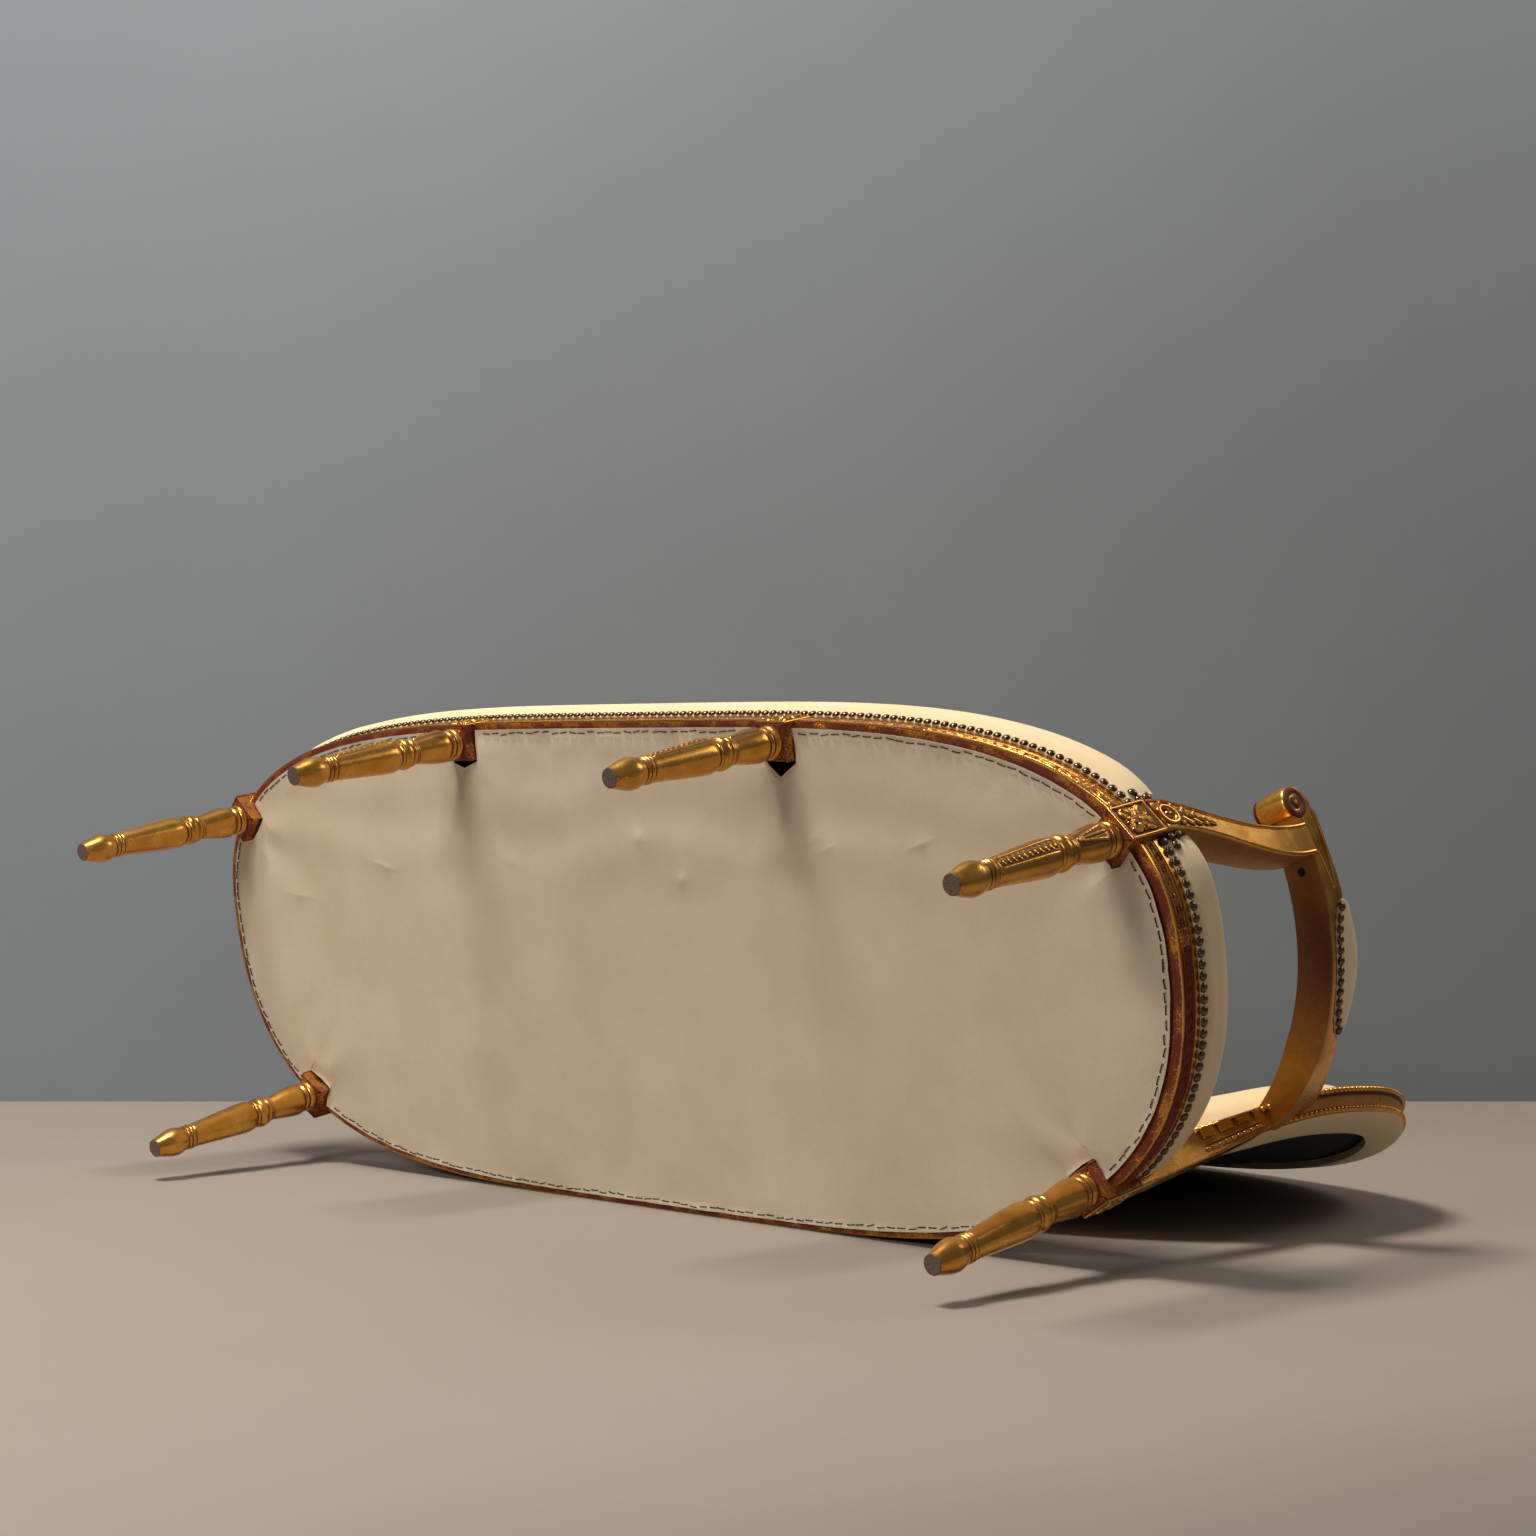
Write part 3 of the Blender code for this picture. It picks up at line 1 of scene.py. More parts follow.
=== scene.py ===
"""Dressed model of a gilt canape sofa: carved show-wood frame, stuffed pads and close nailing.

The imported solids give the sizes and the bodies.  Each sub-assembly below works its surfaces
out with numpy and stands for the plain solids of the same pieces.  Metres throughout, +Z up,
-Y the front.
"""

import logging
import math
from dataclasses import dataclass, field
from enum import Enum
from functools import cached_property, partial
from typing import Any, Callable, Sequence

import bpy
import numpy as np
from mathutils import Matrix


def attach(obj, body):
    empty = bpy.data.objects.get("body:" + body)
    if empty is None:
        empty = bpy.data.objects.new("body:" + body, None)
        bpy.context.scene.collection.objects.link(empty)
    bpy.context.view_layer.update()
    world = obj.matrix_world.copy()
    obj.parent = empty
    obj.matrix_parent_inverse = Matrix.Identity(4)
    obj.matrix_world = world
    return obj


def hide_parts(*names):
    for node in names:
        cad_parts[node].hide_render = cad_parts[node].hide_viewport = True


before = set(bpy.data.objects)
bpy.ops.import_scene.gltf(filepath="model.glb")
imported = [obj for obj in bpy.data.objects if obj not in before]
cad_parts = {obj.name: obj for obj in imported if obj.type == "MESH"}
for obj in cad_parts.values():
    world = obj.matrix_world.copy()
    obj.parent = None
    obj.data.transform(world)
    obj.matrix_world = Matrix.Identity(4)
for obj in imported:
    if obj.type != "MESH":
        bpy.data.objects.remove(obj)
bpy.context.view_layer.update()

Array = np.ndarray
Number = Array | float
Form = tuple[Array, Array, Array]
Profile = tuple[tuple[float, float], ...]
Triple = tuple[float, float, float]
Node = bpy.types.Node
Material = bpy.types.Material
Thing = bpy.types.Object

LOG = logging.getLogger("canape")
UP = np.array((0.0, 0.0, 1.0))
FRONT = np.array((0.0, -1.0, 0.0))
BODY = "root"
MM = 0.001


# --- Mesh building


def unit(vectors: Array) -> Array:
    """Divide each vector along the last axis by its own length."""
    return vectors / np.maximum(np.linalg.norm(vectors, axis=-1, keepdims=True), 1e-12)


def ease(value: Array, low: float, high: float) -> Array:
    """Smooth step: 0 below low, 1 above high, the cubic 3t^2 - 2t^3 between them."""
    share = np.clip((value - low) / (high - low), 0.0, 1.0)
    return share * share * (3.0 - 2.0 * share)


def bump(value: Array, centre: float, half: float) -> Array:
    """Half-round hump sqrt(1 - t^2) of unit height, with t the distance from centre over half."""
    return np.sqrt(np.clip(1.0 - ((value - centre) / half) ** 2, 0.0, 1.0))


def spokes(count: int, first: Array, second: Array) -> Array:
    """Directions round a circle: cos(t) times the first axis plus sin(t) times the second."""
    turn = (np.arange(count) * 2 * math.pi / count)[:, None]
    return np.cos(turn) * first + np.sin(turn) * second


def eased_square(edge: float) -> Array:
    """Corners of a square from -1 to 1, each cut off by a share of its side."""
    return np.array([(-1, 1 - edge), (-1 + edge, 1), (1 - edge, 1), (1, 1 - edge),
                     (1, -1 + edge), (1 - edge, -1), (-1 + edge, -1), (-1, -1 + edge)])


def grid_faces(rows: int, columns: int, wrap_rows: bool, wrap_columns: bool) -> Array:
    """Number the quads of a grid whose point (r, c) has index r * columns + c.

    Args:
        rows: Count of rows of points.
        columns: Count of columns of points.
        wrap_rows: Whether the last row joins the first.
        wrap_columns: Whether the last column joins the first.

    Returns:
        Array of shape (quads, 4).
    """
    r = np.arange(rows if wrap_rows else rows - 1)[:, None]
    c = np.arange(columns if wrap_columns else columns - 1)[None, :]
    after, beside = (r + 1) % rows, (c + 1) % columns
    return np.stack([r * columns + c, r * columns + beside,
                     after * columns + beside, after * columns + c], -1).reshape(-1, 4)


def relief_of(surface: Array, wrap_rows: bool, wrap_columns: bool, passes: int = 3) -> Array:
    """Distance of each point from the blurred grid, along the normal: positive on ridges.

    Args:
        surface: Points of shape (rows, columns, 3).
        wrap_rows: Whether the last row joins the first.
        wrap_columns: Whether the last column joins the first.
        passes: How many times the grid is blurred along both directions.

    Returns:
        Millimetres, of shape (rows, columns).
    """
    wraps = (wrap_rows, wrap_columns)

    def shifted(values: Array, axis: int, step: int) -> Array:
        """Move a grid by one row or column; an open edge keeps its points.

        Args:
            values: The grid.
            axis: 0 to move rows, 1 to move columns.
            step: 1 or -1, the way it moves.

        Returns:
            The moved grid.
        """
        moved = np.roll(values, step, axis)
        if not wraps[axis]:
            edge = [slice(None)] * values.ndim
            edge[axis] = 0 if step > 0 else -1
            moved[tuple(edge)] = values[tuple(edge)]
        return moved

    blurred = surface
    for _ in range(passes):
        for axis in (0, 1):
            blurred = (2.0 * blurred + shifted(blurred, axis, 1) + shifted(blurred, axis, -1)) / 4.0
    along = shifted(surface, 0, -1) - shifted(surface, 0, 1)
    across = shifted(surface, 1, -1) - shifted(surface, 1, 1)
    return ((surface - blurred) * unit(np.cross(across, along))).sum(-1) / MM


def put(name: str, data: Any) -> Thing:
    """Make an object and link it to the scene.

    Args:
        name: The object's name.
        data: Its mesh, lamp or camera.

    Returns:
        The object.
    """
    thing = bpy.data.objects.new(name, data)
    bpy.context.scene.collection.objects.link(thing)
    return thing


@dataclass
class Shell:
    """A mesh that grows grid by grid, with a relief and a rub value at each point.

    Relief is the height above the neighbourhood in millimetres, rub the share of the leaf that
    is gone, from 0 to 1.  Either may be one number or an array that fits the grid.
    """

    name: str
    points: list[Array] = field(default_factory=list)
    quads: list[Array] = field(default_factory=lambda: [np.zeros((0, 4), int)])
    triangles: list[Array] = field(default_factory=lambda: [np.zeros((0, 3), int)])
    relief: list[Array] = field(default_factory=list)
    rub: list[Array] = field(default_factory=list)
    count: int = 0

    def _take(self, points: Array, relief: Number, rub: Number) -> int:
        """Store points with their values.

        Args:
            points: Points, last axis of three.
            relief: Relief value.
            rub: Rub value.

        Returns:
            Index of the first point.
        """
        first = self.count
        self.points.append(points.reshape(-1, 3))
        for store, values in ((self.relief, relief), (self.rub, rub)):
            store.append(np.broadcast_to(values, points.shape[:-1]).reshape(-1))
        self.count += len(self.points[-1])
        return first

    def grid(self, surface: Array, rub: Number = 0.0, relief: Number | None = None,
             ring: bool = False) -> None:
        """Add a grid whose columns close on themselves; open ends get a fan to their middle.

        Args:
            surface: Points of shape (rows, columns, 3).
            rub: Rub value.
            relief: Relief, or None to measure it on the grid.
            ring: Whether the last row joins the first.
        """
        rows, columns = surface.shape[:2]
        relief = relief_of(surface, ring, True) if relief is None else relief
        first = self._take(surface, relief, rub)
        self.quads.append(first + grid_faces(rows, columns, ring, True))
        for row in () if ring else (0, rows - 1):
            middle = self._take(surface[row].mean(0)[None], 0.0, 0.0)
            here = first + row * columns + np.arange(columns)
            beside = np.roll(here, -1)
            pair = (here, beside) if row else (beside, here)
            self.triangles.append(np.stack([*pair, np.full(columns, middle)], 1))

    def tube(self, path: Array, radius: Number, outward: Array) -> None:
        """Add a round moulding along a path: circles set square to the path's tangent.

        Args:
            path: Points (count, 3) along the middle line.
            radius: One radius, or one at each point.
            outward: Direction that stays on top of the section.
        """
        tangent = unit(np.gradient(path, axis=0))
        side = unit(np.cross(tangent, outward))
        top = np.cross(side, tangent)
        size = np.broadcast_to(radius, (len(path),))[:, None, None]
        self.grid(path[:, None] + spokes(8, side[:, None], top[:, None]) * size, 0.1, 0.35)

    def plate(self, front: Array, normal: Array, height: Array, sink: float, rub: float) -> None:
        """Add a carved plate: a raised front, a back sunk into what carries it, and its rim.

        Args:
            front: Base points of shape (rows, columns, 3), counter-clockwise seen from outside.
            normal: Outward directions of the same shape, or one direction.
            height: Carved height above the base points.
            sink: Depth of the back below the base points.
            rub: Rub value of the front.
        """
        rows, columns = front.shape[:2]
        raised = front + normal * height[..., None]
        measured = 2.0 * relief_of(raised, False, False, 2)
        measured = measured + 0.7 * np.clip(height / max(float(height.max()), MM) - 0.42, -0.4, 0.5)
        measured[[0, -1]] = 0.0
        measured[:, [0, -1]] = 0.0
        first = self._take(raised, measured, rub)
        second = self._take(front - normal * sink, -1.0, 1.0)
        faces = grid_faces(rows, columns, False, False)
        edge = np.concatenate([np.arange(columns), np.arange(1, rows) * columns + columns - 1,
                               (rows - 1) * columns + np.arange(columns - 2, -1, -1),
                               np.arange(rows - 2, 0, -1) * columns])
        beside = np.roll(edge, -1)
        rim = np.stack([first + beside, first + edge, second + edge, second + beside], 1)
        self.quads += [first + faces, second + faces[:, ::-1], rim]

    def copies(self, form: Form, places: Array, axes: Array, relief: Number = 0.0,
               rub: float = 0.0) -> None:
        """Add one small form at many places.

        Args:
            form: Points about the form's own origin, its quads and its triangles.
            places: Origins of the copies (copies, 3).
            axes: Directions of its x, y and z for each copy (copies, 3, 3), rows as axes.
            relief: Relief value, one number or one for each point of the form.
            rub: Rub value.
        """
        points, quads, triangles = form
        moved = places[:, None, :] + np.einsum("pk,ckx->cpx", points, axes)
        steps = self._take(moved, relief, rub) + np.arange(len(places))[:, None, None] * len(points)
        self.quads.append((steps + quads[None]).reshape(-1, 4))
        self.triangles.append((steps + triangles[None]).reshape(-1, 3))

    def make(self, finish: Material, slot: str, replaces: Sequence[str] = (),
             smooth_angle: float | None = 40.0) -> Thing:
        """Put the arrays into a mesh object that rides on the sofa.

        Args:
            finish: Material of the whole piece.
            slot: Not used.
            replaces: Names of the solids that this piece stands for.
            smooth_angle: Degrees from which edges stay sharp, or None for all smooth.

        Returns:
            The new object.
        """
        points = np.concatenate(self.points).astype(np.float32)
        quads, triangles = np.concatenate(self.quads), np.concatenate(self.triangles)
        loops = np.concatenate([quads.reshape(-1), triangles.reshape(-1)]).astype(np.int32)
        sizes = np.concatenate([np.full(len(quads), 4), np.full(len(triangles), 3)])
        mesh = bpy.data.meshes.new(self.name)
        mesh.vertices.add(len(points))
        mesh.vertices.foreach_set("co", points.reshape(-1))
        mesh.loops.add(len(loops))
        mesh.loops.foreach_set("vertex_index", loops)
        mesh.polygons.add(len(sizes))
        starts = np.concatenate([[0], np.cumsum(sizes)[:-1]])
        mesh.polygons.foreach_set("loop_start", starts.astype(np.int32))
        mesh.polygons.foreach_set("use_smooth", np.ones(len(sizes), bool))
        mesh.update(calc_edges=True)
        for title, values in (("relief", self.relief), ("rub", self.rub)):
            layer = mesh.attributes.new(title, "FLOAT", "POINT")
            layer.data.foreach_set("value", np.concatenate(values).astype(np.float32))
        mesh.validate()
        if smooth_angle is not None:
            mesh.set_sharp_from_angle(angle=math.radians(smooth_angle))
        mesh.materials.append(finish)
        piece = put(self.name, mesh)
        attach(piece, BODY)
        if replaces:
            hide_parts(*replaces)
        LOG.info("%s: %d faces", self.name, len(sizes))
        return piece


def dome(sides: int = 10) -> Form:
    """Half ball of unit radius and unit height above the xy plane, closed below.

    Args:
        sides: Points round the rim.

    Returns:
        Points, quads and triangles.
    """
    rows = 3
    rise = (np.arange(rows) * math.pi / 2 / rows)[:, None, None]
    ring = spokes(sides, np.array((1.0, 0.0, 0.0)), -FRONT)
    rings = ring[None] * np.cos(rise) + UP * np.sin(rise)
    points = np.concatenate([rings.reshape(-1, 3), [UP, -0.3 * UP]])
    here = np.arange(sides)
    beside = (here + 1) % sides
    last = (rows - 1) * sides
    triangles = np.concatenate([
        np.stack([last + here, last + beside, np.full(sides, rows * sides)], 1),
        np.stack([beside, here, np.full(sides, rows * sides + 1)], 1)])
    return points, grid_faces(rows, sides, False, True), triangles


def axes_from(normal: Array, along: Array) -> Array:
    """Stack x, y and z axes for copies whose z is the normal and whose x lies along a line."""
    side = unit(np.cross(normal, along))
    return np.stack([np.cross(side, normal), side, normal], 1)


# --- Finishes


def colour(code: str) -> tuple[float, float, float, float]:
    """Turn an sRGB hex colour into linear RGBA.

    Args:
        code: The colour, with its hash.

    Returns:
        Red, green and blue from 0 to 1, and an alpha of one.
    """
    parts = [int(code[k:k + 2], 16) / 255 for k in (1, 3, 5)]
    red, green, blue = (p / 12.92 if p <= 0.04045 else ((p + 0.055) / 1.055) ** 2.4 for p in parts)
    return red, green, blue, 1.0


def plug(node: Node, inputs: dict[Any, Any]) -> None:
    """Set a node's inputs.

    Args:
        node: The node.
        inputs: Input name or number to a value, or to a (node, output) pair that feeds it.
    """
    for name, value in inputs.items():
        if isinstance(value, tuple) and isinstance(value[0], Node):
            node.id_data.links.new(value[0].outputs[value[1]], node.inputs[name])
        else:
            node.inputs[name].default_value = value


def add_node(material: Material, kind: str, inputs: dict[Any, Any] | None = None,
             stops: Sequence[tuple[float, tuple[float, ...]]] = (), **settings: Any) -> Node:
    """Add a shader node with its settings, values and links.

    Args:
        material: Material whose tree takes the node.
        kind: Blender's node type, without the "ShaderNode" in front.
        inputs: What plug takes.
        stops: Places from 0 to 1 and linear colours of a colour ramp's two ends.
        settings: Attributes of the node.

    Returns:
        The new node.
    """
    node = material.node_tree.nodes.new("ShaderNode" + kind)
    for name, value in settings.items():
        setattr(node, name, value)
    plug(node, inputs or {})
    for number, (place, shade) in enumerate(stops):
        element = node.color_ramp.elements[number]
        element.position, element.color = place, shade
    return node


def blank(title: str) -> tuple[Material, Node, Callable[..., Node], tuple[Node, str]]:
    """Start a node material.

    Args:
        title: Its name.

    Returns:
        The material, its main shader, what adds nodes to it, and the output of places on a piece.
    """
    material = bpy.data.materials.new(title)
    material.use_nodes = True
    add = partial(add_node, material)
    return material, material.node_tree.nodes["Principled BSDF"], add, (add("TexCoord"), "Object")


@dataclass(frozen=True)
class Gilding:
    """Water gilding: burnished leaf over red bole on beech, toned and rubbed by age.

    The leaf reflects warmly, is dull in the hollows where the toning lies, and is gone to the
    red ground where hands and edges rubbed it.
    """

    leaf: str = "#f3bd5c"
    deep_leaf: str = "#a9611f"
    bole: str = "#762c11"
    toning: str = "#5b2a10"
    roughness: float = 0.19
    grit: float = 2.2 * MM
    cloud: float = 28 * MM

    def material(self) -> Material:
        """Build the node material.

        Returns:
            The material.
        """
        mat, shader, add, spot = blank("water_gilding")
        cloud = add("TexNoise", {"Vector": spot, "Scale": 1 / self.cloud, "Detail": 4.0,
                                 "Roughness": 0.6})
        grit = add("TexNoise", {"Vector": spot, "Scale": 1 / self.grit, "Detail": 3.0,
                                "Roughness": 0.7})
        relief = add("Attribute", attribute_name="relief")
        rub = add("Attribute", attribute_name="rub")
        leaf = add("Mix", {"Factor": (cloud, 0), 6: colour(self.deep_leaf), 7: colour(self.leaf)},
                   data_type="RGBA")
        # Toning lies where the relief is negative, broken up by the grit
        low = add("MapRange", {0: (relief, "Fac"), 1: 0.02, 2: -0.28, 4: 1.35})
        hollow = add("Math", {0: (grit, 0), 1: 0.5, 2: -0.25}, operation="MULTIPLY_ADD")
        hollow = add("Math", {0: (low, 0), 1: (hollow, 0)}, operation="ADD", use_clamp=True)
        gate = add("Math", {0: (hollow, 0), 1: (low, 0)}, operation="MULTIPLY", use_clamp=True)
        # The rub value is close to the share of the ground that shows through
        high = add("MapRange", {0: (relief, "Fac"), 1: 0.15, 2: 0.80, 4: 0.10})
        worn = add("Math", {0: (cloud, 0), 1: 1.1, 2: (rub, "Fac")}, operation="MULTIPLY_ADD")
        worn = add("Math", {0: (worn, 0), 1: (high, 0)}, operation="ADD")
        speck = add("Math", {0: (grit, 0), 1: 0.8, 2: (worn, 0)}, operation="MULTIPLY_ADD")
        bare = add("MapRange", {0: (speck, 0), 1: 1.42, 2: 1.58})
        toned = add("Mix", {"Factor": (gate, 0), 6: (leaf, 2), 7: colour(self.toning)},
                    data_type="RGBA")
        shade = add("Mix", {"Factor": (bare, 0), 6: (toned, 2), 7: colour(self.bole)},
                    data_type="RGBA")
        cover = add("Math", {0: (bare, 0), 1: (gate, 0)}, operation="MAXIMUM")
        metal = add("MapRange", {0: (cover, 0), 3: 0.92, 4: 0.12})
        rough = add("MapRange", {0: (cover, 0), 3: self.roughness, 4: 0.62})
        uneven = add("Math", {0: (cloud, 0), 1: 0.14, 2: (rough, 0)}, operation="MULTIPLY_ADD")
        surface = add("Bump", {"Strength": 0.14, "Distance": 0.2 * MM, "Height": (grit, 0)})
        plug(shader, {"Base Color": (shade, 2), "Metallic": (metal, 0), "Roughness": (uneven, 0),
                      "Normal": (surface, 0)})
        return mat


@dataclass(frozen=True)
class WovenCover:
    """Wool cover with a short nap: a soft cream cloth, matt, with a slight sheen at the edge."""

    base: str = "#eedab3"
    shade: str = "#e4ca9c"
    nap: float = 1.1 * MM
    drift: float = 90 * MM

    def material(self) -> Material:
        """Build the node material.

        Returns:
            The material.
        """
        mat, shader, add, spot = blank("cream_wool_cover")
        drift = add("TexNoise", {"Vector": spot, "Scale": 1 / self.drift, "Detail": 3.0,
                                 "Roughness": 0.55})
        nap = add("TexNoise", {"Vector": spot, "Scale": 1 / self.nap, "Detail": 2.0,
                               "Roughness": 0.8})
        both = add("Math", {0: (nap, 0), 1: 0.45, 2: -0.22}, operation="MULTIPLY_ADD")
        mixed = add("Math", {0: (drift, 0), 1: (both, 0)}, operation="ADD", use_clamp=True)
        tone = add("Mix", {"Factor": (mixed, 0), 6: colour(self.shade), 7: colour(self.base)},
                   data_type="RGBA")
        surface = add("Bump", {"Strength": 0.5, "Distance": 0.35 * MM, "Height": (nap, 0)})
        plug(shader, {"Base Color": (tone, 2), "Normal": (surface, 0), "Roughness": 0.88,
                      "Sheen Weight": 0.15, "Sheen Roughness": 0.5})
        return mat


@dataclass(frozen=True)
class PlainWeave:
    """Plain woven cloth, such as calico, hessian or black lining: matt threads over and under.

    Two bands at right angles, a thread apart; they are drawn coarser than real, to show.
    """

    title: str
    base: str
    shade: str
    thread: float
    depth: float = 0.25 * MM
    spots: float = 0.35

    def material(self) -> Material:
        """Build the node material.

        Returns:
            The material.
        """
        mat, shader, add, spot = blank(self.title)
        over, under = (add("TexWave", {"Vector": spot, "Scale": math.pi / 10 / self.thread,
                                       "Distortion": 0.4, "Detail": 1.0, "Detail Scale": 2.0},
                           bands_direction=axis) for axis in ("X", "Y"))
        weave = add("Math", {0: (over, 1), 1: (under, 1)}, operation="MAXIMUM")
        cloud = add("TexNoise", {"Vector": spot, "Scale": 7.0, "Detail": 5.0, "Roughness": 0.6})
        slub = add("TexNoise", {"Vector": spot, "Scale": 0.4 / self.thread, "Detail": 2.0})
        mixed = add("Math", {0: (slub, 0), 1: self.spots, 2: (cloud, 0)}, operation="MULTIPLY_ADD")
        level = add("MapRange", {0: (mixed, 0), 1: 0.35, 2: 0.85 + self.spots / 2})
        tone = add("Mix", {"Factor": (level, 0), 6: colour(self.base), 7: colour(self.shade)},
                   data_type="RGBA")
        surface = add("Bump", {"Strength": 0.4, "Distance": self.depth, "Height": (weave, 0)})
        plug(shader, {"Base Color": (tone, 2), "Normal": (surface, 0), "Roughness": 0.9})
        return mat


@dataclass(frozen=True)
class AntiqueBronze:
    """Bronzed nail heads: dark patina; lighter dome tops are rubbed brass and a painted highlight.
    """

    dark: str = "#4c3d2b"
    bright: str = "#94795a"
    roughness: float = 0.17

    def material(self) -> Material:
        """Build the node material.

        Returns:
            The material.
        """
        mat, shader, add, spot = blank("bronzed_brass")
        relief = add("Attribute", attribute_name="relief")
        speck = add("TexNoise", {"Vector": spot, "Scale": 700.0, "Detail": 2.0})
        # Lighter towards the dome's top: partly rubbed brass, partly a painted highlight
        level = add("Math", {0: (speck, 0), 1: (relief, "Fac")}, operation="MULTIPLY",
                    use_clamp=True)
        tone = add("Mix", {"Factor": (level, 0), 6: colour(self.dark), 7: colour(self.bright)},
                   data_type="RGBA")
        rough = add("MapRange", {0: (speck, 0), 1: 0.2, 2: 0.8, 3: self.roughness,
                                 4: self.roughness + 0.15})
        plug(shader, {"Base Color": (tone, 2), "Roughness": (rough, 0), "Metallic": 0.95})
        return mat


@dataclass(frozen=True)
class Timber:
    """Bare beech or oak: dull long grain along one axis with darker pores."""

    title: str
    light: str
    dark: str
    ring: float = 1.6 * MM
    stretch: float = 12.0
    roughness: float = 0.7

    def material(self) -> Material:
        """Build the node material.

        Returns:
            The material.
        """
        mat, shader, add, spot = blank(self.title)
        long_way = add("Mapping", {"Vector": spot, "Scale": (1.0, 1.0, 1 / self.stretch)})
        grain = add("TexNoise", {"Vector": (long_way, 0), "Scale": 1 / self.ring, "Detail": 4.0,
                                 "Roughness": 0.7})
        tone = add("ValToRGB", {0: (grain, 0)},
                   ((0.35, colour(self.dark)), (0.65, colour(self.light))))
        surface = add("Bump", {"Strength": 0.4, "Distance": 0.2 * MM, "Height": (grain, 0)})
        plug(shader, {"Base Color": (tone, 0), "Normal": (surface, 0), "Roughness": self.roughness})
        return mat


@dataclass(frozen=True)
class DrawnSteel:
    """Drawn steel wire, as in springs, staples and screws: grey metal with dull oxide."""

    title: str = "drawn_steel"
    clean: str = "#8b8782"
    oxide: str = "#3f352c"

    def material(self) -> Material:
        """Build the node material.

        Returns:
            The material.
        """
        mat, shader, add, spot = blank(self.title)
        rust = add("TexNoise", {"Vector": spot, "Scale": 260.0, "Detail": 4.0, "Roughness": 0.7})
        tone = add("ValToRGB", {0: (rust, 0)},
                   ((0.42, colour(self.clean)), (0.60, colour(self.oxide))))
        rough = add("MapRange", {0: (rust, 0), 1: 0.3, 2: 0.7, 3: 0.35, 4: 0.7})
        plug(shader, {"Base Color": (tone, 0), "Roughness": (rough, 0), "Metallic": 0.9})
        return mat


class Finishes:
    """One material of each finish, shared by all pieces."""

    def __init__(self) -> None:
        """Build every material once."""
        self.gilding = Gilding().material()
        self.cover = WovenCover().material()
        self.calico = PlainWeave("unbleached_calico", "#ddd0ba", "#ccba9d", 1.3 * MM).material()
        # Near-black cloth: the sheet in the back's rear oval, and painted shade in the screw holes
        self.lining = PlainWeave("black_lining", "#0b0a0a", "#151312", 1.5 * MM).material()
        # The jute is made near-black: painted shade where it shows through the cuts in the dust
        # cover
        self.jute = PlainWeave("jute_webbing", "#3d2b1a", "#281b10", 2.5 * MM, 0.8 * MM).material()
        self.bronze = AntiqueBronze().material()
        self.steel = DrawnSteel().material()
        self.staple = DrawnSteel("dark_staple_wire", "#4b4239", "#241c16").material()
        self.foot_wood = Timber("worn_foot_end", "#7c6656", "#43352a", 2.4 * MM, 1.0).material()
        # The inner beech is made near-black: painted shade where the glue blocks show through the
        # dust cover's cuts
        self.inner_wood = Timber("old_inner_beech", "#3d2617", "#26160d").material()


# --- Layout


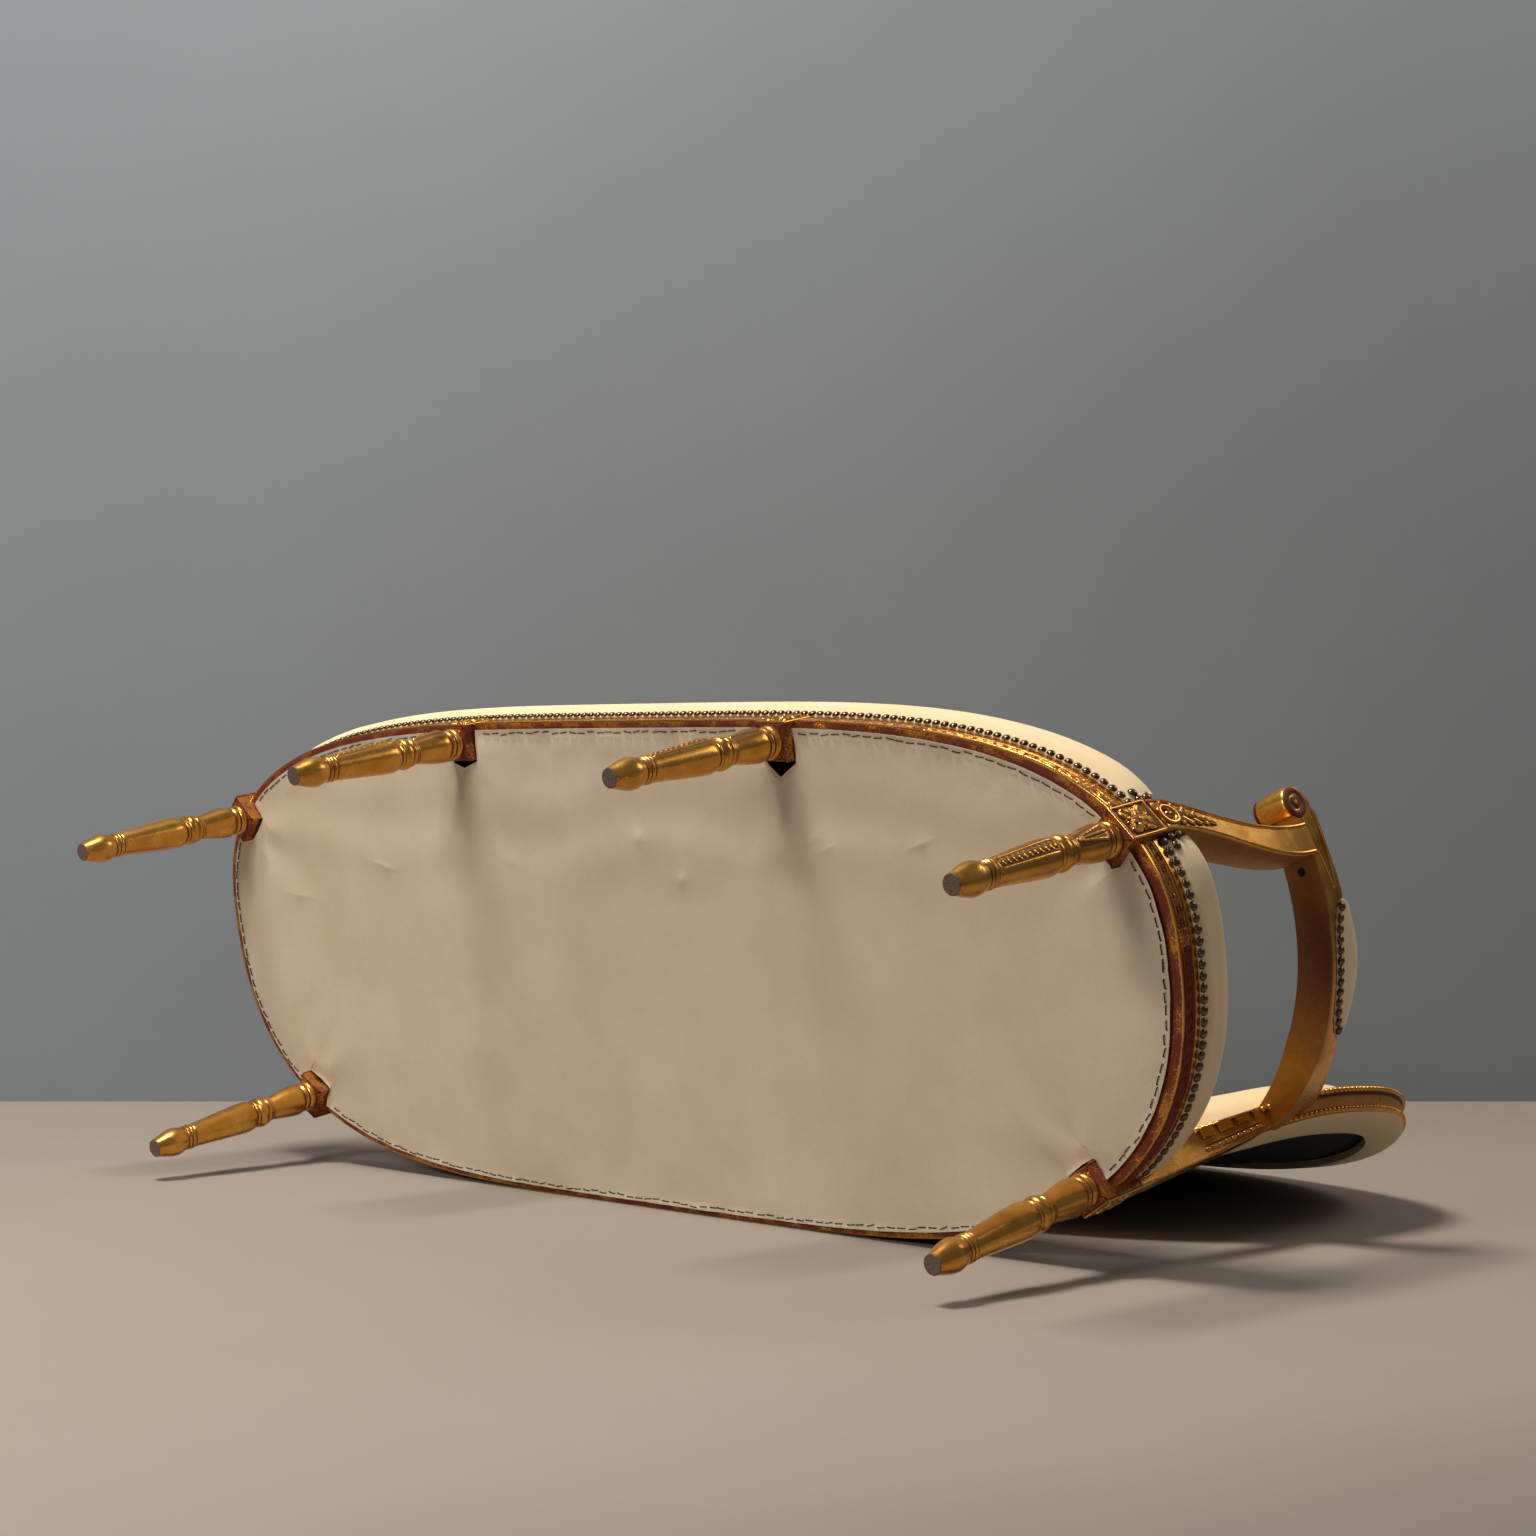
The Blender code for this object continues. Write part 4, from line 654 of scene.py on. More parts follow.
@dataclass(frozen=True)
class SeatPlan:
    """The plan curve of the seat: |x/a|^p + |y/b|^q = 1, deeper behind than in front.

    Places on it are lengths along the curve from the right end, front side first.
    """

    half_length: float = 0.845
    front_depth: float = 0.274
    rear_depth: float = 0.364
    length_power: float = 4.0
    depth_power: float = 2.4
    widest_y: float = -0.100
    samples: int = 2880

    @cached_property
    def units(self) -> Array:
        """Unit coordinates (x/a, y/b) round the curve, found by halving along each direction.

        Returns:
            Points, last axis of two.
        """
        turn = np.linspace(0, -2 * math.pi, self.samples + 1)
        cosine, sine = np.cos(turn), np.sin(turn)
        depth = np.where(sine < 0, self.front_depth, self.rear_depth)
        low, high = np.zeros_like(turn), np.full_like(turn, 2.0)
        for _ in range(50):
            reach = (low + high) / 2
            outside = (np.abs(reach * cosine / self.half_length) ** self.length_power
                       + np.abs(reach * sine / depth) ** self.depth_power) > 1
            high, low = np.where(outside, reach, high), np.where(outside, low, reach)
        return np.stack([reach * cosine / self.half_length, reach * sine / depth], 1)

    @cached_property
    def lengths(self) -> Array:
        """Length along the curve at each sample."""
        steps = np.linalg.norm(np.diff(self.scaled(self.units, 0.0), axis=0), axis=1)
        return np.concatenate([[0], np.cumsum(steps)])

    @property
    def total(self) -> float:
        """Length of the whole curve."""
        return float(self.lengths[-1])

    def scaled(self, units: Array, outset: Number) -> Array:
        """Plan points of unit coordinates on the curve moved out.

        Args:
            units: Unit coordinates, last axis of two.
            outset: Distance moved out.

        Returns:
            Plan points, last axis of two.
        """
        depth = np.where(units[..., 1] < 0, self.front_depth, self.rear_depth) + outset
        return np.stack([units[..., 0] * (self.half_length + outset),
                         units[..., 1] * depth + self.widest_y], -1)

    def unit_at(self, place: Number) -> Array:
        """Unit coordinates at places along the curve."""
        wrapped = np.mod(place, self.total)
        return np.stack([np.interp(wrapped, self.lengths, self.units[:, k]) for k in (0, 1)], -1)

    def point(self, place: Number, outset: Number = 0.0, height: Number = 0.0) -> Array:
        """Points beside the outline; the three values are broadcast together.

        Args:
            place: Distances along the curve.
            outset: Distances outward.
            height: The points' z.

        Returns:
            Points, last axis of three.
        """
        place, outset, height = np.broadcast_arrays(place, outset, height)
        flat = self.scaled(self.unit_at(place), outset)
        return np.concatenate([flat, height[..., None].astype(float)], -1)

    def onward(self, place: Number) -> Array:
        """Direction of travel at places, found between points 4 mm apart on either side."""
        step = 4 * MM
        return unit(self.point(place + step) - self.point(place - step))

    def outward(self, place: Number) -> Array:
        """Direction away from the seat at places: the onward direction turned by 90 degrees."""
        on = self.onward(place)
        return np.stack([-on[..., 1], on[..., 0], on[..., 2]], -1)

    def place_of(self, reach: float, front: bool) -> float:
        """Find the place on one half of the curve where x has a value.

        Args:
            reach: The x wanted.
            front: Whether it is on the front half.

        Returns:
            Length along the curve.
        """
        half = self.samples // 2
        spots = slice(0, half + 1) if front else slice(half, self.samples + 1)
        across, along = self.scaled(self.units, 0.0)[spots, 0], self.lengths[spots]
        order = np.argsort(across)
        return float(np.interp(reach, across[order], along[order]))


PLAN = SeatPlan()


@dataclass(frozen=True)
class Levels:
    """Heights that several sub-assemblies share, and half of a leg block's width."""

    block_low: float = 0.270
    rail_low: float = 0.290
    corner_top: float = 0.333
    show_top: float = 0.3225
    rail_top: float = 0.360
    arm_low: float = 0.610
    block_half: float = 0.024


LEVEL = Levels()


class Post(Enum):
    """The six legs: x of the leg on the plan, whether in front, inset, whether at a corner."""

    FRONT_RIGHT = (0.790, True, 0.015, True)
    MIDDLE_RIGHT = (0.289, True, 0.0245, False)
    MIDDLE_LEFT = (-0.289, True, 0.0245, False)
    FRONT_LEFT = (-0.790, True, 0.015, True)
    REAR_LEFT = (-0.708, False, 0.015, True)
    REAR_RIGHT = (0.708, False, 0.015, True)

    def __init__(self, reach: float, front: bool, inset: float, corner: bool) -> None:
        """Name the four values of a leg."""
        self.reach, self.front, self.inset, self.corner = reach, front, inset, corner

    @property
    def place(self) -> float:
        """Place on the plan curve."""
        return PLAN.place_of(self.reach, self.front)

    @property
    def outward(self) -> Array:
        """Direction that the block's outer face looks in."""
        return PLAN.outward(self.place)

    @property
    def onward(self) -> Array:
        """Direction along the rail at the leg."""
        return PLAN.onward(self.place)

    @property
    def centre(self) -> Array:
        """Middle of the block on the plan."""
        return PLAN.point(self.place) - self.outward * self.inset

    @property
    def top(self) -> float:
        """Height of the block's top: corner blocks carry a support or a stile."""
        return LEVEL.corner_top if self.corner else LEVEL.show_top

    @property
    def node(self) -> str:
        """Name of the leg's solid."""
        end, side = self.name.lower().split("_")
        return f"front_leg_mid_{side}" if end == "middle" else f"{end}_leg_{side}"

    def gap(self, places: Array) -> Array:
        """Signed length from the leg to places, the short way round the plan curve."""
        half = PLAN.total / 2
        return np.mod(places - self.place + half, PLAN.total) - half


# The four runs of rail between corner legs, in the order of the plan curve
RUNS = {"front": (Post.FRONT_RIGHT, Post.FRONT_LEFT), "left": (Post.FRONT_LEFT, Post.REAR_LEFT),
        "rear": (Post.REAR_LEFT, Post.REAR_RIGHT), "right": (Post.REAR_RIGHT, Post.FRONT_RIGHT)}


def run_between(start: Post, end: Post, margin: float) -> tuple[float, float]:
    """First and last place of a run between two blocks.

    Args:
        start: Leg at the start.
        end: Leg at the end.
        margin: Clearance off each block's side.

    Returns:
        The two places, the last past the first.
    """
    first = start.place + LEVEL.block_half + margin
    last = end.place - LEVEL.block_half - margin
    return first, last + PLAN.total if last < first else last


class Side(Enum):
    """The two ends of the sofa, with the sign of x."""

    LEFT = -1.0
    RIGHT = 1.0

    @property
    def title(self) -> str:
        """The side's word in the names of pieces."""
        return self.name.lower()

    @property
    def mirror(self) -> Array:
        """Factors that take a right-hand point to this side."""
        return np.array((self.value, 1.0, 1.0))

    def turned(self, grid: Array) -> Array:
        """Take a right-hand grid to this side, kept the right way out.

        Args:
            grid: Points or values, of shape (rows, columns) or (rows, columns, 3).

        Returns:
            The grid on this side.
        """
        if self is Side.RIGHT:
            return grid
        return grid[:, ::-1] * self.mirror if grid.ndim == 3 else grid[:, ::-1]


def rosette(across: Array, along: Array, radius: float) -> Array:
    """Carved flower: four broad leaves to the corners, four small ones between, a button.

    Each leaf is a lobe |cos(2 angle)| in outline, dished to a raised edge, with a cut vein.

    Args:
        across: Distances from the middle one way.
        along: Distances from the middle the other way.
        radius: Reach of the leaves towards the sides; those to the corners reach further.

    Returns:
        Height of the carving, from 0 to about 1.
    """
    reach = np.hypot(across, along) / radius
    angle = np.arctan2(along, across)
    height = np.zeros(np.broadcast(across, along).shape)
    for turn, size, width in ((math.pi / 4, 1.32, 0.62), (0.0, 1.02, 0.36)):
        near = np.mod(angle - turn + math.pi / 4, math.pi / 2) - math.pi / 4
        length = reach / size
        half = width * np.sqrt(np.clip(np.sin(math.pi * np.clip(length, 0, 1) ** 0.9), 0, 1)) + 1e-6
        share = np.abs(near) * np.maximum(reach, 0.25) / half
        leaf = ease(1.0 - share, 0.0, 0.22) * ease(1.0 - length, 0.0, 0.12)
        height = np.maximum(height, leaf * (0.42 + 0.5 * share * share + 0.25 * length)
                            - 0.25 * leaf * np.exp(-(share / 0.16) ** 2))
    return np.maximum(height, 1.1 * bump(reach, 0.0, 0.27))


def acanthus(across: Array, along: Array) -> Array:
    """Carved leaf on a unit panel: a round scroll at its root, then lobes that overlap.

    Args:
        across: From -1 to 1 over the panel's width.
        along: From 0 at the root to 1 at the tip.

    Returns:
        Height of the carving, from 0 to about 1.
    """
    width = 0.95 * (1 - along ** 2.2) ** 0.8
    lobes = 0.5 + 0.5 * np.cos(2 * math.pi * (5.5 * along - 1.1 * np.abs(across)))
    blade = ease(width * (0.72 + 0.28 * lobes) - np.abs(across), 0.0, 0.16)
    dish = 0.45 + 0.45 * np.abs(across) / np.maximum(width, 0.2)
    stem = 0.75 * bump(across, 0.0, 0.13) * (1 - 0.5 * along)
    leaf = blade * (0.35 + 0.65 * dish * lobes) + stem * (along < 0.92)
    aside, ahead = across + 0.10, (along - 0.17) * 4.4
    reach = np.hypot(ahead, aside)
    turn = np.arctan2(aside, ahead)
    rim = 1.15 * bump(reach, 0.56, 0.20) * (0.55 + 0.45 * np.abs(np.cos(turn * 0.5 - 0.6)))
    eye = 1.15 * bump(reach, 0.0, 0.26)
    return np.maximum(leaf * ease(reach, 0.66, 0.78), np.maximum(rim, eye))


# --- Legs


@dataclass
class TurnedLeg:
    """A turned and fluted leg under its square block, with carved strips on a show side."""

    finishes: Finishes
    post: Post
    rake: float = 0.0106
    sides: int = 72
    foot_sides: int = 36
    eased_edge: float = 1.2 * MM
    # Outline from the foot up as (height, radius) in millimetres; repeated heights are quirks
    outline: Profile = (
        (0.9, 12.2), (4, 12.9), (9, 14.3), (14, 15.8), (20, 17.5), (25, 18.7), (29, 19.3),
        (33, 19.5), (37, 19.0), (41, 17.8), (45, 16.6), (47, 16.2), (48, 15.2), (49.2, 15.2),
        (50, 16.2), (51.5, 16.9), (53, 16.4), (54, 15.4), (55, 15.4), (56, 16.5), (57.8, 17.2),
        (59.6, 16.6), (60.6, 15.4), (61.6, 15.2), (63, 16.0), (64, 16.1), (80, 17.2),
        (100, 18.6), (120, 20.0), (138, 21.2), (150, 21.8), (157, 21.6), (162, 20.4),
        (165, 18.6), (166, 17.3), (167, 17.3), (168, 18.7), (169.6, 19.1), (171, 18.5),
        (171.8, 17.2), (172.6, 17.2), (174, 19.0), (176.6, 20.5), (179.6, 21.0), (182.6, 20.5),
        (185.4, 18.9), (186.4, 17.2), (187.2, 17.1), (188.4, 18.2), (190.2, 18.5), (192, 17.5),
        (193.6, 16.3), (195, 16.2), (197, 15.9), (205, 17.0), (216, 18.8), (228, 20.6),
        (238, 21.6), (244, 21.9), (248, 21.0), (250, 19.2), (251, 18.0), (252.5, 18.4),
        (254.5, 19.9), (256.5, 20.0), (258.2, 18.8), (259, 17.6), (260.4, 17.6), (261.4, 19.0),
        (263.4, 20.6), (266, 21.0), (268.4, 20.2), (269.4, 19.2), (271, 19.2))

    @cached_property
    def shell(self) -> Shell:
        """Mesh of the gilt part."""
        return Shell(self.post.node.replace("leg", "turned_leg"))

    def radius(self, height: Array) -> Array:
        """Radius of the turning at a height, on straight lines between the outline's points."""
        return np.interp(height, *(np.array(self.outline).T * MM))

    def middle(self, height: Number) -> Array:
        """Middle of the turning; rear legs lean back towards the foot.

        Args:
            height: Heights above the floor.

        Returns:
            Points, last axis of three.
        """
        lean = 0.0 if self.post.front else self.rake
        height = np.asarray(height)[..., None]
        drop = np.clip(1 - height / LEVEL.block_low, 0.0, None)
        return self.post.centre - FRONT * lean * drop + UP * height

    def turning(self) -> None:
        """Add the surface of revolution: radius(height) times (cos, sin) of the turn."""
        heights = np.unique(np.concatenate([np.array(self.outline)[:, 0] * MM,
                                            np.arange(66, 160, 6) * MM,
                                            np.arange(200, 246, 5) * MM]))
        out = spokes(self.sides, self.post.outward, self.post.onward)
        surface = self.middle(heights)[:, None] + self.radius(heights)[:, None, None] * out
        surface = surface[:, ::-1]
        rings = np.interp(heights, np.array((46, 64, 150, 160, 196, 205)) * MM, (1, 0, 0, 1, 1, 0))
        rub = 0.05 + 0.12 * np.exp(-heights / (10 * MM)) + 0.20 * rings
        rub = rub + 0.28 * ease(heights, 242 * MM, 262 * MM)
        self.shell.grid(surface, rub[:, None], relief_of(surface, False, True, 2))

    def strip(self, low: float, high: float, half: float,
              carve: Callable[[Array, Array], Array], rows: int) -> None:
        """Add a carved strip that follows the turning on the leg's show side.

        Args:
            low: Height of its lower end.
            high: Height of its upper end.
            half: Half of its width in radians.
            carve: Height of the carving from across (-1..1) and along (0..1), in metres.
            rows: Rows of points along the strip.
        """
        share = np.linspace(0, 1, rows)[:, None]
        across = np.linspace(-1, 1, 25)[None, :]
        height = low + (high - low) * share
        turn = (across * half)[..., None]
        out = np.cos(turn) * self.post.outward + np.sin(turn) * self.post.onward
        base = self.middle(height) + self.radius(height)[..., None] * out
        tall = carve(*np.broadcast_arrays(across, share))
        self.shell.plate(base[:, ::-1], out[:, ::-1], tall[:, ::-1], 1.2 * MM, 0.26)

    def block(self) -> None:
        """Add the square block: a box with eased edges, bole on its lower face."""
        half, edge = LEVEL.block_half, self.eased_edge
        corners = np.repeat(np.array([(1, -1), (1, 1), (-1, 1), (-1, -1)], float), 2, 0) * half
        corners[0::2] -= edge * np.array([(0, -1), (1, 0), (0, 1), (-1, 0)])
        corners[1::2] -= edge * np.array([(1, 0), (0, 1), (-1, 0), (0, -1)])
        rings = []
        for height, share in ((LEVEL.block_low, 1 - edge / half), (LEVEL.block_low + edge, 1.0),
                              (self.post.top - edge, 1.0), (self.post.top, 1 - edge / half)):
            flat = corners * share
            rings.append(self.post.centre + flat[:, :1] * self.post.outward
                         - flat[:, 1:] * self.post.onward + UP * height)
        self.shell.grid(np.array(rings), np.array([0.70, 0.58, 0.50, 0.46])[:, None], 0.0)

    def face_panel(self) -> None:
        """Add the carved panel on the block's outer face: a border round a flower."""
        half, low, high = LEVEL.block_half, LEVEL.block_low, self.post.top
        across = np.linspace(-1, 1, 53)[None, :] * (half - 0.4 * MM)
        along = np.linspace(low + 0.4 * MM, high - 0.4 * MM, 65)[:, None]
        middle = (low + high) / 2
        edge = np.minimum(half - np.abs(across), (high - low) / 2 - np.abs(along - middle))
        border = 2.2 * MM * bump(edge, 2.4 * MM, 2.0 * MM) + 0.6 * MM * ease(-edge, -1.4 * MM, 0)
        flower = 4.4 * MM * rosette(across, (along - middle) * 0.84, 17.5 * MM)
        tall = np.maximum(border, flower * ease(edge, 4.4 * MM, 5.4 * MM))
        base = (self.post.centre + self.post.outward * half
                + across[..., None] * self.post.onward + along[..., None] * UP)
        self.shell.plate(base[:, ::-1], self.post.outward, tall[:, ::-1], 1.0 * MM, 0.12)

    def make(self) -> None:
        """Build the leg and its bare foot end."""
        post = self.post
        self.turning()
        self.block()
        self.face_panel()
        if post.front:
            self.strip(66 * MM, 160 * MM, 0.54, self._husks, 120)
            self.strip(199 * MM, 245 * MM, 0.62, self._notch, 60)
        self.shell.make(self.finishes.gilding, "gilt_wood", [post.node])
        foot = Shell(post.node.replace("leg", "foot_end"))
        out = spokes(self.foot_sides, post.outward, -post.onward)
        foot.grid(np.array([self.middle(z * MM) + out * r * MM for z, r in (
            (0.0, 3.0), (0.0, 8.0), (0.0, 11.6), (0.5, 12.1), (0.9, 12.1), (1.6, 11.0))]), 0.0, 0.0)
        foot.make(self.finishes.foot_wood, "gilt_wood")

    @staticmethod
    def _husks(across: Array, along: Array) -> Array:
        """A sunk strip with a raised rim and a string of small husks down its middle.

        Args:
            across: Places across the strip, -1 to 1.
            along: Places along it, 0 to 1.

        Returns:
            Heights over the ground, in metres.
        """
        rim = 1.1 * MM * bump(np.abs(across), 0.86, 0.14)
        cell = np.mod(along * 11, 1.0)
        husk = bump(cell, 0.45, 0.42) * bump(across, 0.0, 0.30 + 0.22 * np.abs(cell - 0.45))
        side = 0.6 * bump(cell, 0.85, 0.22) * bump(np.abs(across), 0.42, 0.16)
        ends = ease(np.minimum(along, 1 - along), 0.0, 0.03)
        return ends * np.maximum(rim, 1.5 * MM * np.maximum(husk, side) - 0.1 * MM)

    @staticmethod
    def _notch(across: Array, along: Array) -> Array:
        """A tapering leaf that hangs from the rings: two ridges that meet in a point.

        Args:
            across: Places across the leaf, -1 to 1.
            along: Places from the point to the wide end, 0 to 1.

        Returns:
            Heights over the ground, in metres.
        """
        width = 0.95 * along ** 0.7 + 0.02
        ridge = bump(np.abs(across), width * 0.8, 0.14)
        ends = ease(np.minimum(along, 1 - along), 0.0, 0.05)
        return ends * 1.4 * MM * np.maximum(ridge, 0.8 * bump(across, 0.0, 0.12))


# --- Seat rails


@dataclass
class SeatRail:
    """One seat rail between two corner legs: bole underside, bound reeds on the show face."""

    finishes: Finishes
    name: str
    start: Post
    end: Post
    thickness: float = 32 * MM
    rabbet: float = 4.5 * MM
    husk_pitch: float = 15 * MM
    tie_pitch: float = 240 * MM
    tie_half: float = 7 * MM
    step: float = 1.6 * MM

    def show_face(self, place: Array, level: Array) -> Array:
        """Depth of the carved face behind the plan curve.

        A fillet, two fine reeds, a string of husks and beads, a reed and a flat fillet follow
        each other upward; every pitch a double ribbon binds them.

        Args:
            place: Lengths along the curve.
            level: Height above the rail's underside.

        Returns:
            Outset, negative where the face is cut back.
        """
        bed = -2.6 * MM
        depth = np.full(np.broadcast(place, level).shape, bed)
        depth = np.where(level < 2.6 * MM, 0.0, depth)
        for centre, wide, tall in ((5.0, 1.3, 1.7), (8.6, 1.7, 2.3), (20.6, 1.6, 2.3)):
            depth = np.maximum(depth, bed + tall * MM * bump(level, centre * MM, wide * MM))
        depth = np.maximum(depth, np.where(level > 23.4 * MM, -0.2 * MM, bed))
        # The husks: pointed drops end to end, with a bead between each two
        cell = np.mod(place / self.husk_pitch, 1.0)
        swelling = np.clip(np.sin(math.pi * np.clip(cell / 0.78, 0, 1)), 0, 1)
        half = 4.3 * MM * np.sqrt(swelling) + 1e-6
        away = np.abs(level - 14.6 * MM)
        husk = bump(away, 0.0, half) * (0.55 + 0.45 * cell)
        husk = husk - 0.35 * np.exp(-(away / (0.7 * MM)) ** 2) * (husk > 0)
        bead = np.sqrt(np.clip(1 - (away / (1.9 * MM)) ** 2 - ((cell - 0.89) / 0.12) ** 2, 0, 1))
        depth = np.maximum(depth, bed + 3.0 * MM * np.maximum(husk, 0.9 * bead))
        phase = np.mod(place + self.tie_pitch / 2, self.tie_pitch) - self.tie_pitch / 2
        tie = (np.abs(phase) < self.tie_half) & (level > 3.6 * MM) & (level < 22.4 * MM)
        ribbon = bump(np.abs(phase), 4.2 * MM, 2.6 * MM)
        return np.where(tie, np.maximum(depth, -1.0 * MM + 1.5 * MM * ribbon), depth)

    def make(self) -> None:
        """Build the rail: one closed section of underside, show face, rabbet, top and inside."""
        first, last = run_between(self.start, self.end, -3 * MM)
        places = np.linspace(first, last, int((last - first) / self.step))[:, None]
        low, top, shown = LEVEL.rail_low, LEVEL.rail_top, LEVEL.show_top
        levels = np.concatenate([[0.4, 1.4, 2.4, 2.8], np.linspace(3.4, 22.6, 40),
                                 [23.1, 23.7, 25.0, 28.0, 31.8]])[None] * MM
        face = self.show_face(places, levels)
        count = len(places)
        lower = np.array([(-self.thickness, low), (-self.thickness / 2, low), (-2 * MM, low),
                          (-0.5 * MM, low + 0.1 * MM)])
        upper = np.array([(-1.4 * MM, shown), (-self.rabbet, shown), (-self.rabbet, top),
                          (-self.thickness, top)])
        surface = np.concatenate([PLAN.point(places, *lower.T[:, None]),
                                  PLAN.point(places, face, low + levels),
                                  PLAN.point(places, *upper.T[:, None])], 1)
        deep = np.clip((-1.5 * MM - face) / MM, 0.0, 1.0)
        far = 0.42 * ease(PLAN.point(places)[..., 1], -0.22, 0.08)
        band = np.interp(levels, np.array((2.5, 3.2, 10.5, 11.5, 18.0, 22.5, 23.4)) * MM,
                         (0.02, 0.40, 0.40, 0.47, 0.47, 0.36, 0.02))
        rub = np.concatenate([np.broadcast_to((0.72, 0.72, 0.62, 0.25), (count, 4)),
                              0.05 + far + band + 0.42 * deep,
                              np.broadcast_to((0.1, 0.3, 0.4, 0.4), (count, 4))], 1)
        relief = np.pad(0.25 - 0.44 * deep, ((0, 0), (4, 4)))
        shell = Shell(self.name + "_carved")
        shell.grid(surface[:, ::-1], rub[:, ::-1], relief[:, ::-1])
        shell.make(self.finishes.gilding, "gilt_wood", [self.name])


# --- Nails


@dataclass
class NailRow:
    """Close-set dome-headed nails of one size."""

    finishes: Finishes
    name: str
    radius: float = 6.2 * MM
    rise: float = 4.2 * MM
    tilt: float = 0.05

    def make(self, places: Array, normals: Array, along: Array, replaces: str) -> None:
        """Set a nail head at each place.

        Args:
            places: Middles of the heads' rims (count, 3).
            normals: Directions that the heads look in.
            along: Direction of the row.
            replaces: Solid that the row stands for.
        """
        points, quads, triangles = dome()
        points = points * (self.radius, self.radius, self.rise)
        noise = np.random.default_rng(len(places))
        tilted = unit(normals + noise.normal(0, self.tilt, normals.shape))
        shell = Shell(self.name)
        shell.copies((points, quads, triangles), places, axes_from(tilted, along),
                     np.clip(points[:, 2] / self.rise, 0, 1) ** 0.7)
        shell.make(self.finishes.bronze, "nail_bronze", [replaces], None)


# --- Seat upholstery


def swell(piece: Thing, held: Array, cap: float, frames: int = 20) -> None:
    """Blow a closed pad up as cloth with inner pressure and no gravity, then keep the result.

    Args:
        piece: Closed pad.
        held: Pin weight of each point, from 0 to 1.
        cap: Greatest distance that a point may move.
        frames: Steps of the simulation.
    """
    mesh = piece.data
    group = piece.vertex_groups.new(name="held")
    for level in np.unique(np.round(held, 2)):
        if level > 0:
            group.add(np.nonzero(np.round(held, 2) == level)[0].tolist(), float(level), "REPLACE")
    cloth = piece.modifiers.new("stuffing", "CLOTH")
    for name, value in {"vertex_group_mass": "held", "use_pressure": True,
                        "uniform_pressure_force": 4.0, "quality": 5, "tension_stiffness": 25.0,
                        "bending_stiffness": 2.0}.items():
        setattr(cloth.settings, name, value)
    cloth.settings.effector_weights.gravity = 0.0
    cloth.collision_settings.use_collision = False
    cloth.point_cache.frame_start, cloth.point_cache.frame_end = 1, frames
    scene = bpy.context.scene
    for number in range(1, frames + 1):
        scene.frame_set(number)
    before = np.empty(len(mesh.vertices) * 3, np.float32)
    mesh.vertices.foreach_get("co", before)
    moved = np.empty_like(before)
    shaped = piece.evaluated_get(bpy.context.evaluated_depsgraph_get()).to_mesh()
    shaped.vertices.foreach_get("co", moved)
    shift = (moved - before).reshape(-1, 3)
    size = np.linalg.norm(shift, axis=1, keepdims=True)
    limit = cap * (1 - held[:, None])
    shift *= np.minimum(1.0, limit / np.maximum(size, 1e-9))
    piece.modifiers.remove(cloth)
    piece.vertex_groups.remove(group)
    scene.frame_set(1)
    mesh.vertices.foreach_set("co", (before + shift.reshape(-1)).astype(np.float32))
    mesh.update()
    LOG.info("%s: swelled by up to %.1f mm", piece.name, 1000 * float(np.abs(shift).max()))


